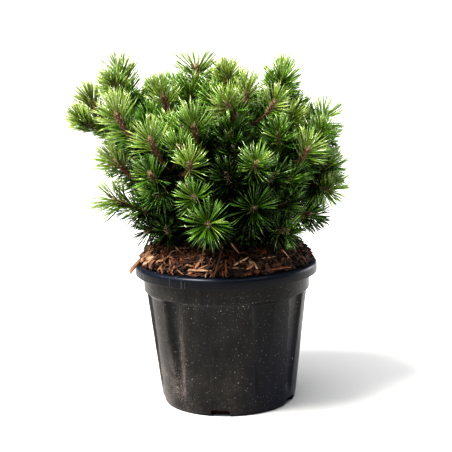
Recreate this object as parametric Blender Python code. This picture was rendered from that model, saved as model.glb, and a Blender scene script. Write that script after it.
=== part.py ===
"""A dwarf mountain pine in a five litre nursery pot. Metres, Z up, origin at the centre of its underside.

An azimuth is in degrees round Z: 0 is the front, -Y, and 90 is the right, +X. The crown is a set of limbs
that spring from the trunk in tiers. The inner part of each limb is a bough, and the rest is the stem of one
mass of foliage, with side shoots by a seeded rule. Every shoot is a slim core whose faces are drawn out
into needles."""

import math
import random

import bmesh
import bpy
from mathutils import Matrix, Vector, geometry, kdtree

CLEAR = 0.0003  # gap between pieces that touch

# Pot: outer sizes of the moulding, from the ground up
POT_TOP = 0.1796
BASE_RADIUS = 0.0850
BASE_CHAMFER = 0.0035
WALL_SWELL = (0.0012, 0.0040)  # added to the base radius at the two heights of FLUTE_FOOT
WALL_TOP = 0.1413
WALL_TOP_RADIUS = 0.1013
COLLAR_FOOT = 0.1455
COLLAR_RADIUS = 0.1052
RIM_RADIUS = 0.1150
RIM_DROP = 0.0138  # height of the skirt that hangs from the rim
RIM_ROUNDING = 0.0034
RIM_CORNER = (0.3, 0.5)  # shares of the rounding, down and in, at which its corner is cut
LIP_WIDTH = 0.0102
WALL = 0.0018
FLOOR = 0.0022
DRAFT = 0.0004  # upright faces slope in by about this much
POT_STEPS = 72

# Flutes: a broad plain panel, a channel, a narrow panel and a channel, three times round
PANEL_AZIMUTH = -8.0
FLUTE_PERIOD = 120.0
FLUTE_OFFSET = 40.0  # from the middle of a broad panel to the middle of the channel on each side
FLUTE_HALF_WIDTH = 10.0
FLUTE_DEPTH = 0.0036
FLUTE_FOOT = (0.012, 0.035)  # the channels fade out between these heights

# Drainage notches in the foot
NOTCH_COUNT = 5
NOTCH_WIDTH = (0.0250, 0.0215)  # at the ground and at the top
NOTCH_HEIGHT = 0.0085
NOTCH_INNER = 0.068

# Compost with its mound of bark, whose edge lies on the rim
SOIL_STEPS = 40
SOIL_RADIUS = 0.1080
SOIL_EDGE = 0.1815
MOUND_TOP = 0.2065
MOUND_FLAT = 0.020  # flat seat under the trunk
MOUND_RINGS = (0.1045, 0.0985, 0.0890, 0.0730, 0.0480)  # radii between its edge and its flat top
MOUND_ROUGHNESS = 0.0016
MOUND_SEED = 7
SOIL_PLAY = 0.0004  # between the compost and the wall

# Trunk
TRUNK_FOOT = MOUND_TOP + CLEAR
TRUNK_HEIGHT = 0.084
TRUNK_RADII = (0.0115, 0.0088)
TRUNK_FLARE = (0.0055, 0.006)  # how far the roots flare at the foot, and over what height
TRUNK_RINGS = (0.0, 0.05, 0.12, 0.25, 0.5, 0.75, 1.0)
TRUNK_LEAN = Vector((-0.007, 0.004, 0.0))  # of its top from its foot
TRUNK_BOW = 1.4  # above 1 the trunk starts upright and leans more as it rises
TRUNK_SIDES = 12

# Crown: boughs spring from tiers up the trunk and lead to a tip seen from the heart of the crown
HEART = Vector((-0.005, 0.0, 0.235))
TIER_HEIGHTS = (0.012, 0.027, 0.042, 0.057, 0.070)
TIER_RISE = (6.0, 16.0, 28.0, 40.0, 50.0)  # degrees above level at which a bough leaves the trunk
BOUGH_RADII = (0.0038, 0.0030, 0.0017)  # at the trunk, where the foliage starts, at the tip
BOUGH_END = 0.34  # share of the limb that is bare bough; the rest is the stem of its mass
BOUGH_BANDS = 3
BOUGH_SIDES = 5
LIMB_PULL = (0.38, 0.34)  # how stiffly a limb keeps its direction at the trunk and at the tip
TIP_LIFT = (0.12, 0.004)  # how far a limb's tip turns up, and more for each degree of elevation
CENTRE = 0.80  # share of the limb at which its mass has its centre

# name: azimuth, elevation, reach in mm, tier, side shoots, seed
MASSES = {
    "high_left": (-103, 55, 222, 3, 4, 170),
    "far_left": (-92, 43, 216, 2, 4, 142),
    "left_shoulder": (-61, 46, 198, 3, 4, 23),
    "upper_left": (-60, 64, 180, 4, 4, 219),
    "crown_top": (-127, 80, 190, 4, 3, 157),
    "top_back": (165, 78, 186, 4, 3, 72),
    "top_right": (109, 63, 193, 4, 2, 219),
    "upper_right": (35, 69, 168, 4, 4, 294),
    "upper_front": (-16, 50, 161, 3, 4, 113),
    "right_shoulder": (91, 43, 178, 3, 4, 294),
    "right_front": (60, 36, 151, 2, 4, 238),
    "right_edge": (97, 22, 156, 1, 4, 13),
    "right_low": (84, 6, 128, 0, 4, 45),
    "front_right": (18, 31, 159, 2, 4, 1),
    "front_right_low": (18, 13, 128, 1, 4, 239),
    "front_low": (-6, 6, 142, 0, 2, 29),
    "front_left": (-13, 21, 142, 1, 4, 98),
    "left_front": (-38, 38, 164, 2, 4, 93),
    "left_mid": (-80, 33, 154, 1, 4, 260),
    "left_low": (-78, 12, 143, 0, 4, 146),
    "back_left_high": (-140, 50, 192, 3, 4, 12),
    "back_high": (170, 52, 186, 3, 4, 117),
    "back_right_high": (128, 44, 180, 2, 4, 109),
    "back_left": (-118, 24, 166, 1, 4, 80),
    "back_left_low": (-148, 10, 152, 0, 4, 133),
    "back": (-168, 30, 168, 2, 4, 117),
    "back_right": (150, 22, 160, 1, 4, 117),
    "back_right_low": (128, 6, 146, 0, 4, 207),
    "left_foot": (-70, -5, 104, 0, 3, 224),
    "right_foot": (48, -4, 106, 0, 3, 7),
}

ON_TRUNK = ("front_low", "left_foot", "right_foot")  # masses whose stem springs from the trunk itself

# Shoots and their needles: each needle is a face of its shoot's core drawn out to a point
SIDE_START = (0.46, 0.82)  # share of the limb over which side shoots leave it
SIDE_LENGTH = (0.040, 0.060)
SIDE_FORK = (32.0, 56.0)
SIDE_LIFT = 0.010
SIDE_JITTER = 25.0  # degrees round the limb
SIDE_STAGGER = (0.1, 0.9)  # where in its own stretch of the limb a side shoot may leave it
GOLDEN_ANGLE = 137.5
TWIG_RADII = (0.0024, 0.0018)
TWIG_SIDES = 3
LEAD_BANDS = 9
SIDE_BANDS = 5
NEEDLE_LENGTH = (0.028, 0.034)  # on old wood and at the tip
NEEDLE_LEAN = (72.0, 22.0)  # degrees from the shoot, on old wood and at the tip
NEEDLE_FOOT = 0.0020  # half the width of a needle's foot
BUD_LENGTH = 0.008
BARE_CORE = 0.035  # no needles nearer the heart than this

# Clearances of needles and twigs
NEEDLE_GAP = 0.0004  # between needles of different shoots
LIMB_GAP = 0.0008
MULCH_GAP = 0.0010
SPACE_MARGIN = 0.0015  # from the border between two masses

# Points at which the plan of the crown is tested
TRUNK_SAMPLES = 20
LIMB_SAMPLES = 60
LINE_SAMPLES = 8
CLEAR_OF_LIMB = 0.3  # share of the way to its bend at which a side shoot is out of its own limb
OWN_STEM = 0.36  # share of a limb from which its own mass may grow on it

MATERIALS = {
    "pot_plastic": ((0.020, 0.019, 0.018), 0.42),
    "bark_chips": ((0.150, 0.065, 0.030), 0.90),
    "pine_bark": ((0.085, 0.042, 0.024), 0.85),
    "pine_needles": ((0.060, 0.170, 0.025), 0.45),
}


def clear_scene():
    for obj in list(bpy.data.objects):
        bpy.data.objects.remove(obj)


def make_materials():
    made = {}
    for name, (colour, roughness) in MATERIALS.items():
        material = bpy.data.materials.new(name)
        material.use_nodes = True
        shader = material.node_tree.nodes["Principled BSDF"]
        shader.inputs["Base Color"].default_value = (*colour, 1.0)
        shader.inputs["Roughness"].default_value = roughness
        shader.inputs["Metallic"].default_value = 0.0
        made[name] = material
    return made


def object_from(bm, name, material=None, collection=None):
    """Closes the bmesh into a new object, its faces facing out."""
    bmesh.ops.recalc_face_normals(bm, faces=bm.faces)
    mesh = bpy.data.meshes.new(name)
    bm.to_mesh(mesh)
    bm.free()
    obj = bpy.data.objects.new(name, mesh)
    if material:
        mesh.materials.append(material)
    (collection or bpy.context.scene.collection).objects.link(obj)
    return obj


def shade(obj, angle=40.0):
    obj.data.shade_smooth()
    obj.data.set_sharp_from_angle(angle=math.radians(angle))


def heading(azimuth, elevation=0.0):
    """Unit vector at an azimuth and an elevation in degrees."""
    a, e = math.radians(azimuth), math.radians(elevation)
    return Vector((math.sin(a) * math.cos(e), -math.cos(a) * math.cos(e), math.sin(e)))


def turned(profile, steps):
    """Spins a closed profile of (radius, height) points about the Z axis."""
    bm = bmesh.new()
    out = heading(PANEL_AZIMUTH)
    verts = [bm.verts.new(out * r + Vector((0, 0, z))) for r, z in profile]
    edges = [bm.edges.new(pair) for pair in zip(verts, verts[1:])]
    bmesh.ops.spin(
        bm, geom=verts + edges, cent=(0, 0, 0), axis=(0, 0, 1), dvec=(0, 0, 0),
        angle=math.tau, steps=steps, use_merge=True,
    )
    bmesh.ops.remove_doubles(bm, verts=bm.verts, dist=1e-6)
    return bm


def flute_depth(point):
    """How far the pot's wall is pressed in at a point on it."""
    low, high = FLUTE_FOOT
    if not low < point.z < (WALL_TOP + COLLAR_FOOT) / 2:
        return 0.0
    azimuth = math.degrees(math.atan2(point.x, -point.y))
    around = (azimuth - PANEL_AZIMUTH + FLUTE_PERIOD / 2) % FLUTE_PERIOD - FLUTE_PERIOD / 2
    across = (abs(around) - FLUTE_OFFSET) / FLUTE_HALF_WIDTH
    bowed = math.sqrt(max(0.0, 1.0 - across**2))
    return FLUTE_DEPTH * bowed * min(1.0, (point.z - low) / (high - low))


def pot_profile():
    """The pot's section, from the middle of its underside over the rim to the middle of its floor."""
    low, high = (BASE_RADIUS + swell for swell in WALL_SWELL)
    rim_inner = RIM_RADIUS - LIP_WIDTH
    corner, inset = (RIM_ROUNDING * share for share in RIM_CORNER)
    outside = [
        (0.0, 0.0), (BASE_RADIUS - BASE_CHAMFER, 0.0), (BASE_RADIUS, BASE_CHAMFER), (low, FLUTE_FOOT[0]),
        (high, FLUTE_FOOT[1]), (WALL_TOP_RADIUS, WALL_TOP), (COLLAR_RADIUS - DRAFT, COLLAR_FOOT),
        (COLLAR_RADIUS, POT_TOP - RIM_DROP), (COLLAR_RADIUS + DRAFT, POT_TOP - RIM_ROUNDING),
    ]
    rim = [
        (RIM_RADIUS - WALL, POT_TOP - RIM_ROUNDING), (RIM_RADIUS - WALL, POT_TOP - RIM_DROP),
        (RIM_RADIUS, POT_TOP - RIM_DROP), (RIM_RADIUS - DRAFT, POT_TOP - RIM_ROUNDING),
        (RIM_RADIUS - inset, POT_TOP - corner), (RIM_RADIUS - RIM_ROUNDING, POT_TOP),
        (rim_inner + inset, POT_TOP), (rim_inner, POT_TOP - corner),
    ]
    inside = [
        (COLLAR_RADIUS - WALL, POT_TOP - RIM_ROUNDING - WALL), (COLLAR_RADIUS - DRAFT - WALL, COLLAR_FOOT),
        (WALL_TOP_RADIUS - WALL, WALL_TOP), (high - WALL, FLUTE_FOOT[1]), (low - WALL, FLUTE_FOOT[0]),
        (BASE_RADIUS - BASE_CHAMFER, FLOOR), (0.0, FLOOR),
    ]
    return outside + rim + inside


def build_pot(material):
    bm = turned(pot_profile(), POT_STEPS)
    for vert in bm.verts:
        out = Vector((vert.co.x, vert.co.y, 0.0)).normalized()
        vert.co -= out * flute_depth(vert.co)
    pot = object_from(bm, "pot", material)
    for number in range(NOTCH_COUNT):
        cut = pot.modifiers.new(f"notch_{number}", "BOOLEAN")
        cut.operation = "DIFFERENCE"
        cut.object = notch_cutter(number)
    shade(pot)
    return pot


def as_cutter(obj):
    obj.hide_render = True
    obj.display_type = "WIRE"
    return obj


def notch_cutter(number):
    """A wedge that opens the foot of the wall and the floor behind it."""
    beyond = 0.010
    low, high = NOTCH_WIDTH
    bm = bmesh.new()
    bmesh.ops.create_cube(bm, size=1.0)
    for vert in bm.verts:
        height = NOTCH_HEIGHT if vert.co.z > 0 else -beyond
        width = low + (high - low) * height / NOTCH_HEIGHT
        depth = NOTCH_INNER if vert.co.y > 0 else BASE_RADIUS + beyond
        vert.co = Vector((math.copysign(width / 2, vert.co.x), -depth, height))
    turn = Matrix.Rotation(math.radians(PANEL_AZIMUTH + 360.0 / NOTCH_COUNT * number), 4, "Z")
    bmesh.ops.transform(bm, matrix=turn, verts=bm.verts)
    return as_cutter(object_from(bm, f"notch_cutter_{number}"))


def mound_height(radius):
    """Top of the bark at a distance from the pot's axis."""
    share = max(0.0, radius - MOUND_FLAT) / (SOIL_RADIUS - MOUND_FLAT)
    return SOIL_EDGE + (MOUND_TOP - SOIL_EDGE) * (1.0 - share**6)


def mulch_profile():
    """The section of the compost, from the middle of its underside up the wall to the top of the mound."""
    pressed = FLUTE_DEPTH + WALL + SOIL_PLAY
    collar = COLLAR_RADIUS - WALL - SOIL_PLAY
    lip = RIM_RADIUS - LIP_WIDTH
    corner, inset = (RIM_ROUNDING * share for share in RIM_CORNER)
    on_floor, on_rim = FLOOR + CLEAR, POT_TOP + CLEAR
    under = [
        (0.0, on_floor), (BASE_RADIUS - pressed, on_floor), (BASE_RADIUS - pressed, FLUTE_FOOT[0]),
        (WALL_TOP_RADIUS - pressed, WALL_TOP), (collar - DRAFT, COLLAR_FOOT + 2 * SOIL_PLAY),
        (collar, POT_TOP - RIM_ROUNDING - WALL), (lip - SOIL_PLAY, POT_TOP - corner),
        (lip + inset, on_rim), (SOIL_RADIUS, on_rim),
    ]
    over = [(r, mound_height(r)) for r in (SOIL_RADIUS, *MOUND_RINGS, MOUND_FLAT)]
    return under + over + [(0.0, MOUND_TOP)]


def build_bark_mulch(material):
    bm = turned(mulch_profile(), SOIL_STEPS)
    rng = random.Random(MOUND_SEED)
    for vert in sorted(bm.verts, key=lambda v: [round(c, 5) for c in v.co]):
        bump = rng.uniform(-1.0, 1.0) * MOUND_ROUGHNESS
        from_seat = vert.co.xy.length - MOUND_FLAT
        if vert.co.z > SOIL_EDGE + MOUND_ROUGHNESS and from_seat > CLEAR:
            vert.co.z += bump
    mulch = object_from(bm, "bark_mulch", material)
    shade(mulch)
    return mulch


def trunk_point(height):
    """Centre of the trunk at a height above its foot."""
    share = height / TRUNK_HEIGHT
    return Vector((0.0, 0.0, TRUNK_FOOT + height)) + TRUNK_LEAN * share**TRUNK_BOW


def trunk_radius(height):
    low, high = TRUNK_RADII
    flare, rise = TRUNK_FLARE
    return low + (high - low) * height / TRUNK_HEIGHT + flare * math.exp(-height / rise)


def aside(direction, clock, lean):
    """A direction turned away from another by lean degrees, towards clock degrees round it."""
    upright = 0.98
    other = Vector((0, 0, 1)) if abs(direction.z) < upright else Vector((1, 0, 0))
    side = direction.cross(other).normalized()
    over = side.cross(direction)
    turn, tilt = math.radians(clock), math.radians(lean)
    return direction * math.cos(tilt) + (side * math.cos(turn) + over * math.sin(turn)) * math.sin(tilt)


def rings_along(bm, points, radii, sides, twist=0.0):
    """A ring of vertices square to the path at each of its points, each turned by twist from the last."""
    rings = []
    for i, (point, radius) in enumerate(zip(points, radii)):
        along = (points[min(i + 1, len(points) - 1)] - points[max(i - 1, 0)]).normalized()
        clocks = [360.0 / sides * k + twist * i for k in range(sides)]
        rings.append([bm.verts.new(point + aside(along, clock, 90.0) * radius) for clock in clocks])
    return rings


def tube(name, points, radii, sides, material=None):
    """A closed tapering limb along points."""
    bm = bmesh.new()
    rings = rings_along(bm, points, radii, sides)
    for low, high in zip(rings, rings[1:]):
        for k in range(sides):
            bm.faces.new((low[k], low[(k + 1) % sides], high[(k + 1) % sides], high[k]))
    bm.faces.new(reversed(rings[0]))
    bm.faces.new(rings[-1])
    return object_from(bm, name, material)


def build_trunk(material, name="trunk", extra=0.0):
    """The trunk, cut flat at the mulch; extra makes it larger all round."""
    heights = [TRUNK_HEIGHT * share for share in TRUNK_RINGS]
    radii = [trunk_radius(h) + extra for h in heights]
    trunk = tube(name, [trunk_point(h) for h in heights], radii, TRUNK_SIDES, material)
    for vert in trunk.data.vertices[:TRUNK_SIDES]:
        vert.co.z = TRUNK_FOOT - extra
    for vert in trunk.data.vertices[-TRUNK_SIDES:]:
        vert.co.z += extra
    shade(trunk)
    return trunk


def root_azimuths():
    """Spreads the boughs of each tier evenly round the trunk, in the order of their tips."""
    found = {}
    for tier in range(len(TIER_HEIGHTS)):
        members = sorted((row[0], name) for name, row in MASSES.items() if row[3] == tier)
        step = 360.0 / len(members)
        offset = sum(azimuth - step * rank for rank, (azimuth, _) in enumerate(members)) / len(members)
        for rank, (azimuth, name) in enumerate(members):
            found[name] = offset + step * rank
    return found


def limb_of(name, root_azimuth):
    """Control points of the curve from the trunk's axis to a mass's leading tip."""
    azimuth, elevation, reach, tier = MASSES[name][:4]
    start = trunk_point(TIER_HEIGHTS[tier])
    out = heading(azimuth, elevation)
    tip = HEART + out * reach / 1000.0
    lift = TIP_LIFT[0] + TIP_LIFT[1] * max(0, elevation)
    span = (tip - start).length
    leave = heading(root_azimuth, TIER_RISE[tier]) * span * LIMB_PULL[0]
    arrive = (out + Vector((0, 0, lift))).normalized() * span * LIMB_PULL[1]
    return start, start + leave, tip - arrive, tip


def on_curve(limb, share):
    a, b, c, d = limb
    t, s = share, 1.0 - share
    return a * s**3 + b * (3 * s * s * t) + c * (3 * s * t * t) + d * t**3


def slope_on(limb, share):
    a, b, c, d = limb
    t, s = share, 1.0 - share
    return ((b - a) * (3 * s * s) + (c - b) * (6 * s * t) + (d - c) * (3 * t * t)).normalized()


def seat_share(limb):
    """Where along a limb it comes clear of the trunk."""
    step = 0.0005
    share = 0.0
    while True:
        point = on_curve(limb, share)
        height = point.z - TRUNK_FOOT
        if (point - trunk_point(height)).length > trunk_radius(height) + 2 * CLEAR:
            return share
        share += step


def limb_radius(share):
    root, fork, tip = BOUGH_RADII
    if share < BOUGH_END:
        return root + (fork - root) * share / BOUGH_END
    return fork + (tip - fork) * (share - BOUGH_END) / (1.0 - BOUGH_END)


def side_shoots(limb, count, seed):
    """The start, bend and tip of each side shoot of a mass, by a seeded rule."""
    rng = random.Random(seed)
    phase = rng.uniform(0.0, 360.0)
    found = []
    for number in range(count):
        low, high = SIDE_START
        share = low + (high - low) * (number + rng.uniform(*SIDE_STAGGER)) / count
        clock = phase + GOLDEN_ANGLE * number + rng.uniform(-SIDE_JITTER, SIDE_JITTER)
        out = aside(slope_on(limb, share), clock, rng.uniform(*SIDE_FORK))
        length = rng.uniform(*SIDE_LENGTH)
        start = on_curve(limb, share)
        bend = start + out * length * 0.5
        tip = start + out * length + Vector((0, 0, SIDE_LIFT))
        found.append((start, bend, tip))
    return found


def twisted_core(points, radii):
    """The core of a shoot, with its bands of faces and its end face.

    Its rings turn by half a side each, so that every face on its sides is a triangle."""
    bm = bmesh.new()
    rings = rings_along(bm, points, radii, TWIG_SIDES, twist=180.0 / TWIG_SIDES)
    bands = []
    for low, high in zip(rings, rings[1:]):
        band = []
        for k in range(TWIG_SIDES):
            after = (k + 1) % TWIG_SIDES
            band.append(bm.faces.new((low[k], low[after], high[k])))
            band.append(bm.faces.new((high[k], low[after], high[after])))
        bands.append(band)
    bm.faces.new(reversed(rings[0]))
    end = bm.faces.new(rings[-1])
    bmesh.ops.recalc_face_normals(bm, faces=bm.faces)
    return bm, bands, end


def between(low_high, share):
    low, high = low_high
    return low + (high - low) * share


def side_path(start, bend, tip):
    """A side shoot's points and radii at each of its bands, along the smooth curve through three points."""
    pull = bend * 2 - (start + tip) / 2
    shares = [k / SIDE_BANDS for k in range(SIDE_BANDS + 1)]
    points = [start * (1 - t) ** 2 + pull * (2 * t * (1 - t)) + tip * t * t for t in shares]
    return points, [between(TWIG_RADII, t) for t in shares]


class Crown:
    """The plan of the crown: its limbs, the space that each mass keeps to, and what lies in the way."""

    def __init__(self):
        roots = root_azimuths()
        self.limbs = {name: limb_of(name, roots[name]) for name in MASSES}
        self.centres = {name: on_curve(limb, CENTRE) for name, limb in self.limbs.items()}
        heights = [TRUNK_HEIGHT * k / TRUNK_SAMPLES for k in range(TRUNK_SAMPLES + 1)]
        self.wood = [(trunk_point(h), trunk_radius(h), "trunk", 0.0) for h in heights]
        for name, limb in self.limbs.items():
            shares = [k / LIMB_SAMPLES for k in range(LIMB_SAMPLES + 1)]
            self.wood += [(on_curve(limb, share), limb_radius(share), name, share) for share in shares]
        self.tree = kdtree.KDTree(len(self.wood))
        for index, (point, *_) in enumerate(self.wood):
            self.tree.insert(point, index)
        self.tree.balance()

    def in_space(self, name, point, margin):
        """True if the point is nearer to this mass's centre than to any other's, by a margin."""
        own = self.centres[name]
        for other, centre in self.centres.items():
            if other != name and (point - (own + centre) / 2).dot((centre - own).normalized()) > -margin:
                return False
        return True

    def is_free(self, name, point, margin):
        """True if the point clears the mulch, the trunk, every bough and the stems of the other masses."""
        from_axis = min(math.hypot(point.x, point.y), SOIL_RADIUS)
        if point.z < mound_height(from_axis) + MOUND_ROUGHNESS + MULCH_GAP + margin:
            return False
        for _, index, gap in self.tree.find_range(point, 2 * TRUNK_RADII[0]):
            _, radius, owner, share = self.wood[index]
            own_stem = owner == name and (share > OWN_STEM or name in ON_TRUNK)
            if not own_stem and gap < radius + margin + LIMB_GAP:
                return False
        return True

    def holds(self, name, root, tip, margin):
        """True if a straight line from root to tip stays in the mass's space and touches no limb."""
        if not (self.in_space(name, root, margin) and self.in_space(name, tip, margin)):
            return False
        points = [root.lerp(tip, k / LINE_SAMPLES) for k in range(LINE_SAMPLES + 1)]
        return all(self.is_free(name, point, margin) for point in points)

    def shoots(self, name):
        """Points and radii of the leading shoot of a mass and of the side shoots that keep to its space.

        No side shoot reaches past the leader."""
        limb = self.limbs[name]
        count, seed = MASSES[name][4:]
        shares = [between((BOUGH_END, 1.0), k / LEAD_BANDS) for k in range(LEAD_BANDS + 1)]
        if name in ON_TRUNK:
            shares.insert(0, seat_share(limb))
        kept = [([on_curve(limb, share) for share in shares], [limb_radius(share) for share in shares])]
        reach = (limb[-1] - HEART).length
        for start, bend, tip in side_shoots(limb, count, seed):
            inner = self.holds(name, start.lerp(bend, CLEAR_OF_LIMB), bend, TWIG_RADII[0])
            outer = self.holds(name, bend, tip, TWIG_RADII[0])
            if inner and outer and (tip - HEART).length < reach:
                kept.append(side_path(start, bend, tip))
        return kept


def build_bough(crown, name, material, trunk_cutter):
    """The bare part of a limb, its foot cut to the trunk."""
    limb = crown.limbs[name]
    shares = [BOUGH_END * k / BOUGH_BANDS for k in range(BOUGH_BANDS + 1)]
    points = [on_curve(limb, share) for share in shares]
    points[-1] -= slope_on(limb, BOUGH_END) * CLEAR
    bough = tube(f"bough_{name}", points, [limb_radius(share) for share in shares], BOUGH_SIDES, material)
    cut = bough.modifiers.new("seat", "BOOLEAN")
    cut.operation = "DIFFERENCE"
    cut.object = trunk_cutter
    shade(bough)
    return bough


def draw_out(bm, face, tip):
    """Draws a face out to a point."""
    bmesh.ops.poke(bm, faces=[face])["verts"][0].co = tip


def rods_touch(first, second):
    """True if two tapering rods, each given as its ends and the radii there, come too close."""
    a, b, ra, rb = first
    c, d, rc, rd = second
    near = geometry.intersect_line_line(a, b, c, d)
    if near is None:
        return False
    s = min(1.0, max(0.0, geometry.intersect_point_line(near[0], a, b)[1]))
    t = min(1.0, max(0.0, geometry.intersect_point_line(near[1], c, d)[1]))
    gap = (a.lerp(b, s) - c.lerp(d, t)).length
    return gap < ra + (rb - ra) * s + rc + (rd - rc) * t + NEEDLE_GAP


def needle_of(face, along, share):
    """Root and tip of the needle that a face at a share of its shoot could be drawn out into."""
    root = face.calc_center_median()
    out = (face.normal - along * face.normal.dot(along)).normalized()
    lean = math.radians(between(NEEDLE_LEAN, share))
    return root, root + (along * math.cos(lean) + out * math.sin(lean)) * between(NEEDLE_LENGTH, share)


def brushes(crown, name):
    """The shoots of a mass, with the needles that stay in its space and run clear of its other shoots."""
    shoots = crown.shoots(name)
    rods = []
    for number, (points, radii) in enumerate(shoots):
        rods += [(number, (a, b, radius, radius)) for a, b, radius in zip(points, points[1:], radii)]
    for number, (points, radii) in enumerate(shoots):
        bm, bands, end = twisted_core(points, radii)
        drawn = []
        for place, band in enumerate(bands):
            if (points[place] - HEART).length < BARE_CORE:
                continue
            along = (points[place + 1] - points[place]).normalized()
            for face in band:
                root, tip = needle_of(face, along, (place + 0.5) / len(bands))
                rod = (root, tip, NEEDLE_FOOT, 0.0)
                crossed = any(other != number and rods_touch(rod, there) for other, there in rods)
                if not crossed and crown.holds(name, root, tip, SPACE_MARGIN):
                    drawn.append((face, tip))
                    rods.append((number, rod))
        for face, tip in drawn:
            draw_out(bm, face, tip)
        draw_out(bm, end, points[-1] + (points[-1] - points[-2]).normalized() * BUD_LENGTH)
        yield bm


def build_mass(crown, name, material):
    """One mass of foliage: its leading shoot, with the side shoots fused on."""
    group = bpy.data.collections.new("fused_on")
    bpy.context.scene.collection.children.link(group)
    lead, *sides = brushes(crown, name)
    mass = object_from(lead, f"needles_{name}", material)
    for side in sides:
        object_from(side, "side_shoot", collection=group)
    if sides:
        fuse = mass.modifiers.new("fuse", "BOOLEAN")
        fuse.operation = "UNION"
        fuse.operand_type = "COLLECTION"
        fuse.collection = group
        fuse.solver = "MANIFOLD"
        graph = bpy.context.evaluated_depsgraph_get()
        whole = bpy.data.meshes.new_from_object(mass.evaluated_get(graph))
        mass.modifiers.clear()
        mass.data = whole
    for obj in list(group.objects):
        bpy.data.objects.remove(obj)
    bpy.data.collections.remove(group)
    return mass


def main():
    clear_scene()
    materials = make_materials()
    build_pot(materials["pot_plastic"])
    build_bark_mulch(materials["bark_chips"])
    build_trunk(materials["pine_bark"])
    trunk_cutter = as_cutter(build_trunk(None, "trunk_cutter", CLEAR))
    crown = Crown()
    for name in MASSES:
        if name not in ON_TRUNK:
            build_bough(crown, name, materials["pine_bark"], trunk_cutter)
        build_mass(crown, name, materials["pine_needles"])


if __name__ == "__main__":
    main()
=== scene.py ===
import math
import random

import bmesh
import bpy
import numpy as np
from mathutils import Matrix, Vector, kdtree, noise


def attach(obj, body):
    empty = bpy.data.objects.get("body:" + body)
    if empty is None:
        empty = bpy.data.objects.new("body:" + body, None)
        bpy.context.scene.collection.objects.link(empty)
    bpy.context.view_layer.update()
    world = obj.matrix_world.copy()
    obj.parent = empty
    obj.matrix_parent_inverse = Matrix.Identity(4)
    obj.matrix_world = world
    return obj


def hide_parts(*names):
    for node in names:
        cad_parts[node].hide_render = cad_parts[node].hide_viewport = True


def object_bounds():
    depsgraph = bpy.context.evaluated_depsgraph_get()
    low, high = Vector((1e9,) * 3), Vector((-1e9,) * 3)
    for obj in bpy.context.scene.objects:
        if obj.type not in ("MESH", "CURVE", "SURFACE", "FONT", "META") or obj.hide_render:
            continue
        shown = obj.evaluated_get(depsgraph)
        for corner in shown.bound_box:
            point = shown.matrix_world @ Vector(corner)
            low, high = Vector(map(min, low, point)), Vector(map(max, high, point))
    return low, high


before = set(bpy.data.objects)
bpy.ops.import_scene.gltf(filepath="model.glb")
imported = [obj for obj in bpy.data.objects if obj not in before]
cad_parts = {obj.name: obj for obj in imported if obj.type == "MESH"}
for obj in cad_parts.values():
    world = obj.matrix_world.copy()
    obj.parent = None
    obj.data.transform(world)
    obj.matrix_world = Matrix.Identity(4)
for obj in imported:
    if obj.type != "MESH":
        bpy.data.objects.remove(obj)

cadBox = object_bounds()
zAxis = Vector((0, 0, 1))
goldenAngle = 137.5  # degrees from one leaf or shoot to the next round a stem
print("frame loaded")


def heading(azimuth, elevation=0.0):  # degrees: 0 is the front, 90 the right
    a, e = math.radians(azimuth), math.radians(elevation)
    return Vector((math.sin(a) * math.cos(e), -math.cos(a) * math.cos(e), math.sin(e)))


def between(lowHigh, share):
    return lowHigh[0] + (lowHigh[1] - lowHigh[0]) * share


def dressed(mesh, name, material, nodes, sharpAngle=35):
    piece = bpy.data.objects.new(name, mesh)
    bpy.context.scene.collection.objects.link(piece)
    mesh.materials.clear()
    mesh.materials.append(material)
    mesh.shade_smooth()
    if sharpAngle:
        mesh.set_sharp_from_angle(angle=math.radians(sharpAngle))
    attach(piece, "root")
    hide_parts(*nodes)
    print(f"{name}: {len(mesh.polygons)} faces")
    return piece


def meshFrom(bm, name):
    mesh = bpy.data.meshes.new(name)
    bm.to_mesh(mesh)
    bm.free()
    return mesh


def applied(obj):  # bakes an object's modifiers or curve into a fresh mesh and removes the object
    graph = bpy.context.evaluated_depsgraph_get()
    mesh = bpy.data.meshes.new_from_object(obj.evaluated_get(graph))
    bpy.data.objects.remove(obj)
    return mesh


def templateOf(bm):  # vertices and triangles of a small shape, for joining many copies of it
    bmesh.ops.recalc_face_normals(bm, faces=bm.faces)
    bmesh.ops.triangulate(bm, faces=bm.faces)
    bm.verts.index_update()
    verts = np.array([v.co for v in bm.verts])
    tris = np.array([[v.index for v in f.verts] for f in bm.faces])
    bm.free()
    return verts, tris


def joinedMesh(name, batches):  # batches of (copies x vertices x 3, triangles)
    coords, tris, first = [], [], 0
    for verts, faces in batches:
        copies, count = verts.shape[:2]
        coords.append(verts.reshape(-1, 3))
        tris.append((faces[None] + (first + np.arange(copies) * count)[:, None, None]).reshape(-1, 3))
        first += copies * count
    coords, tris = np.concatenate(coords), np.concatenate(tris)
    mesh = bpy.data.meshes.new(name)
    mesh.vertices.add(len(coords))
    mesh.vertices.foreach_set("co", coords.astype(np.float32).ravel())
    mesh.loops.add(tris.size)
    mesh.loops.foreach_set("vertex_index", tris.astype(np.int32).ravel())
    mesh.polygons.add(len(tris))
    mesh.polygons.foreach_set("loop_start", np.arange(0, tris.size, 3, dtype=np.int32))
    mesh.update(calc_edges=True)
    mesh.validate()
    return mesh


def turns(directions, clocks):  # 3x3 matrices that take z to each direction, turned round it
    along = directions / np.linalg.norm(directions, axis=1)[:, None]
    other = np.where(np.abs(along[:, 2:3]) < 0.95, [[0.0, 0.0, 1.0]], [[1.0, 0.0, 0.0]])
    side = np.cross(other, along)
    side /= np.linalg.norm(side, axis=1)[:, None]
    over = np.cross(along, side)
    c, s = np.cos(clocks)[:, None], np.sin(clocks)[:, None]
    return np.stack((side * c + over * s, over * c - side * s, along), axis=2)


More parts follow.
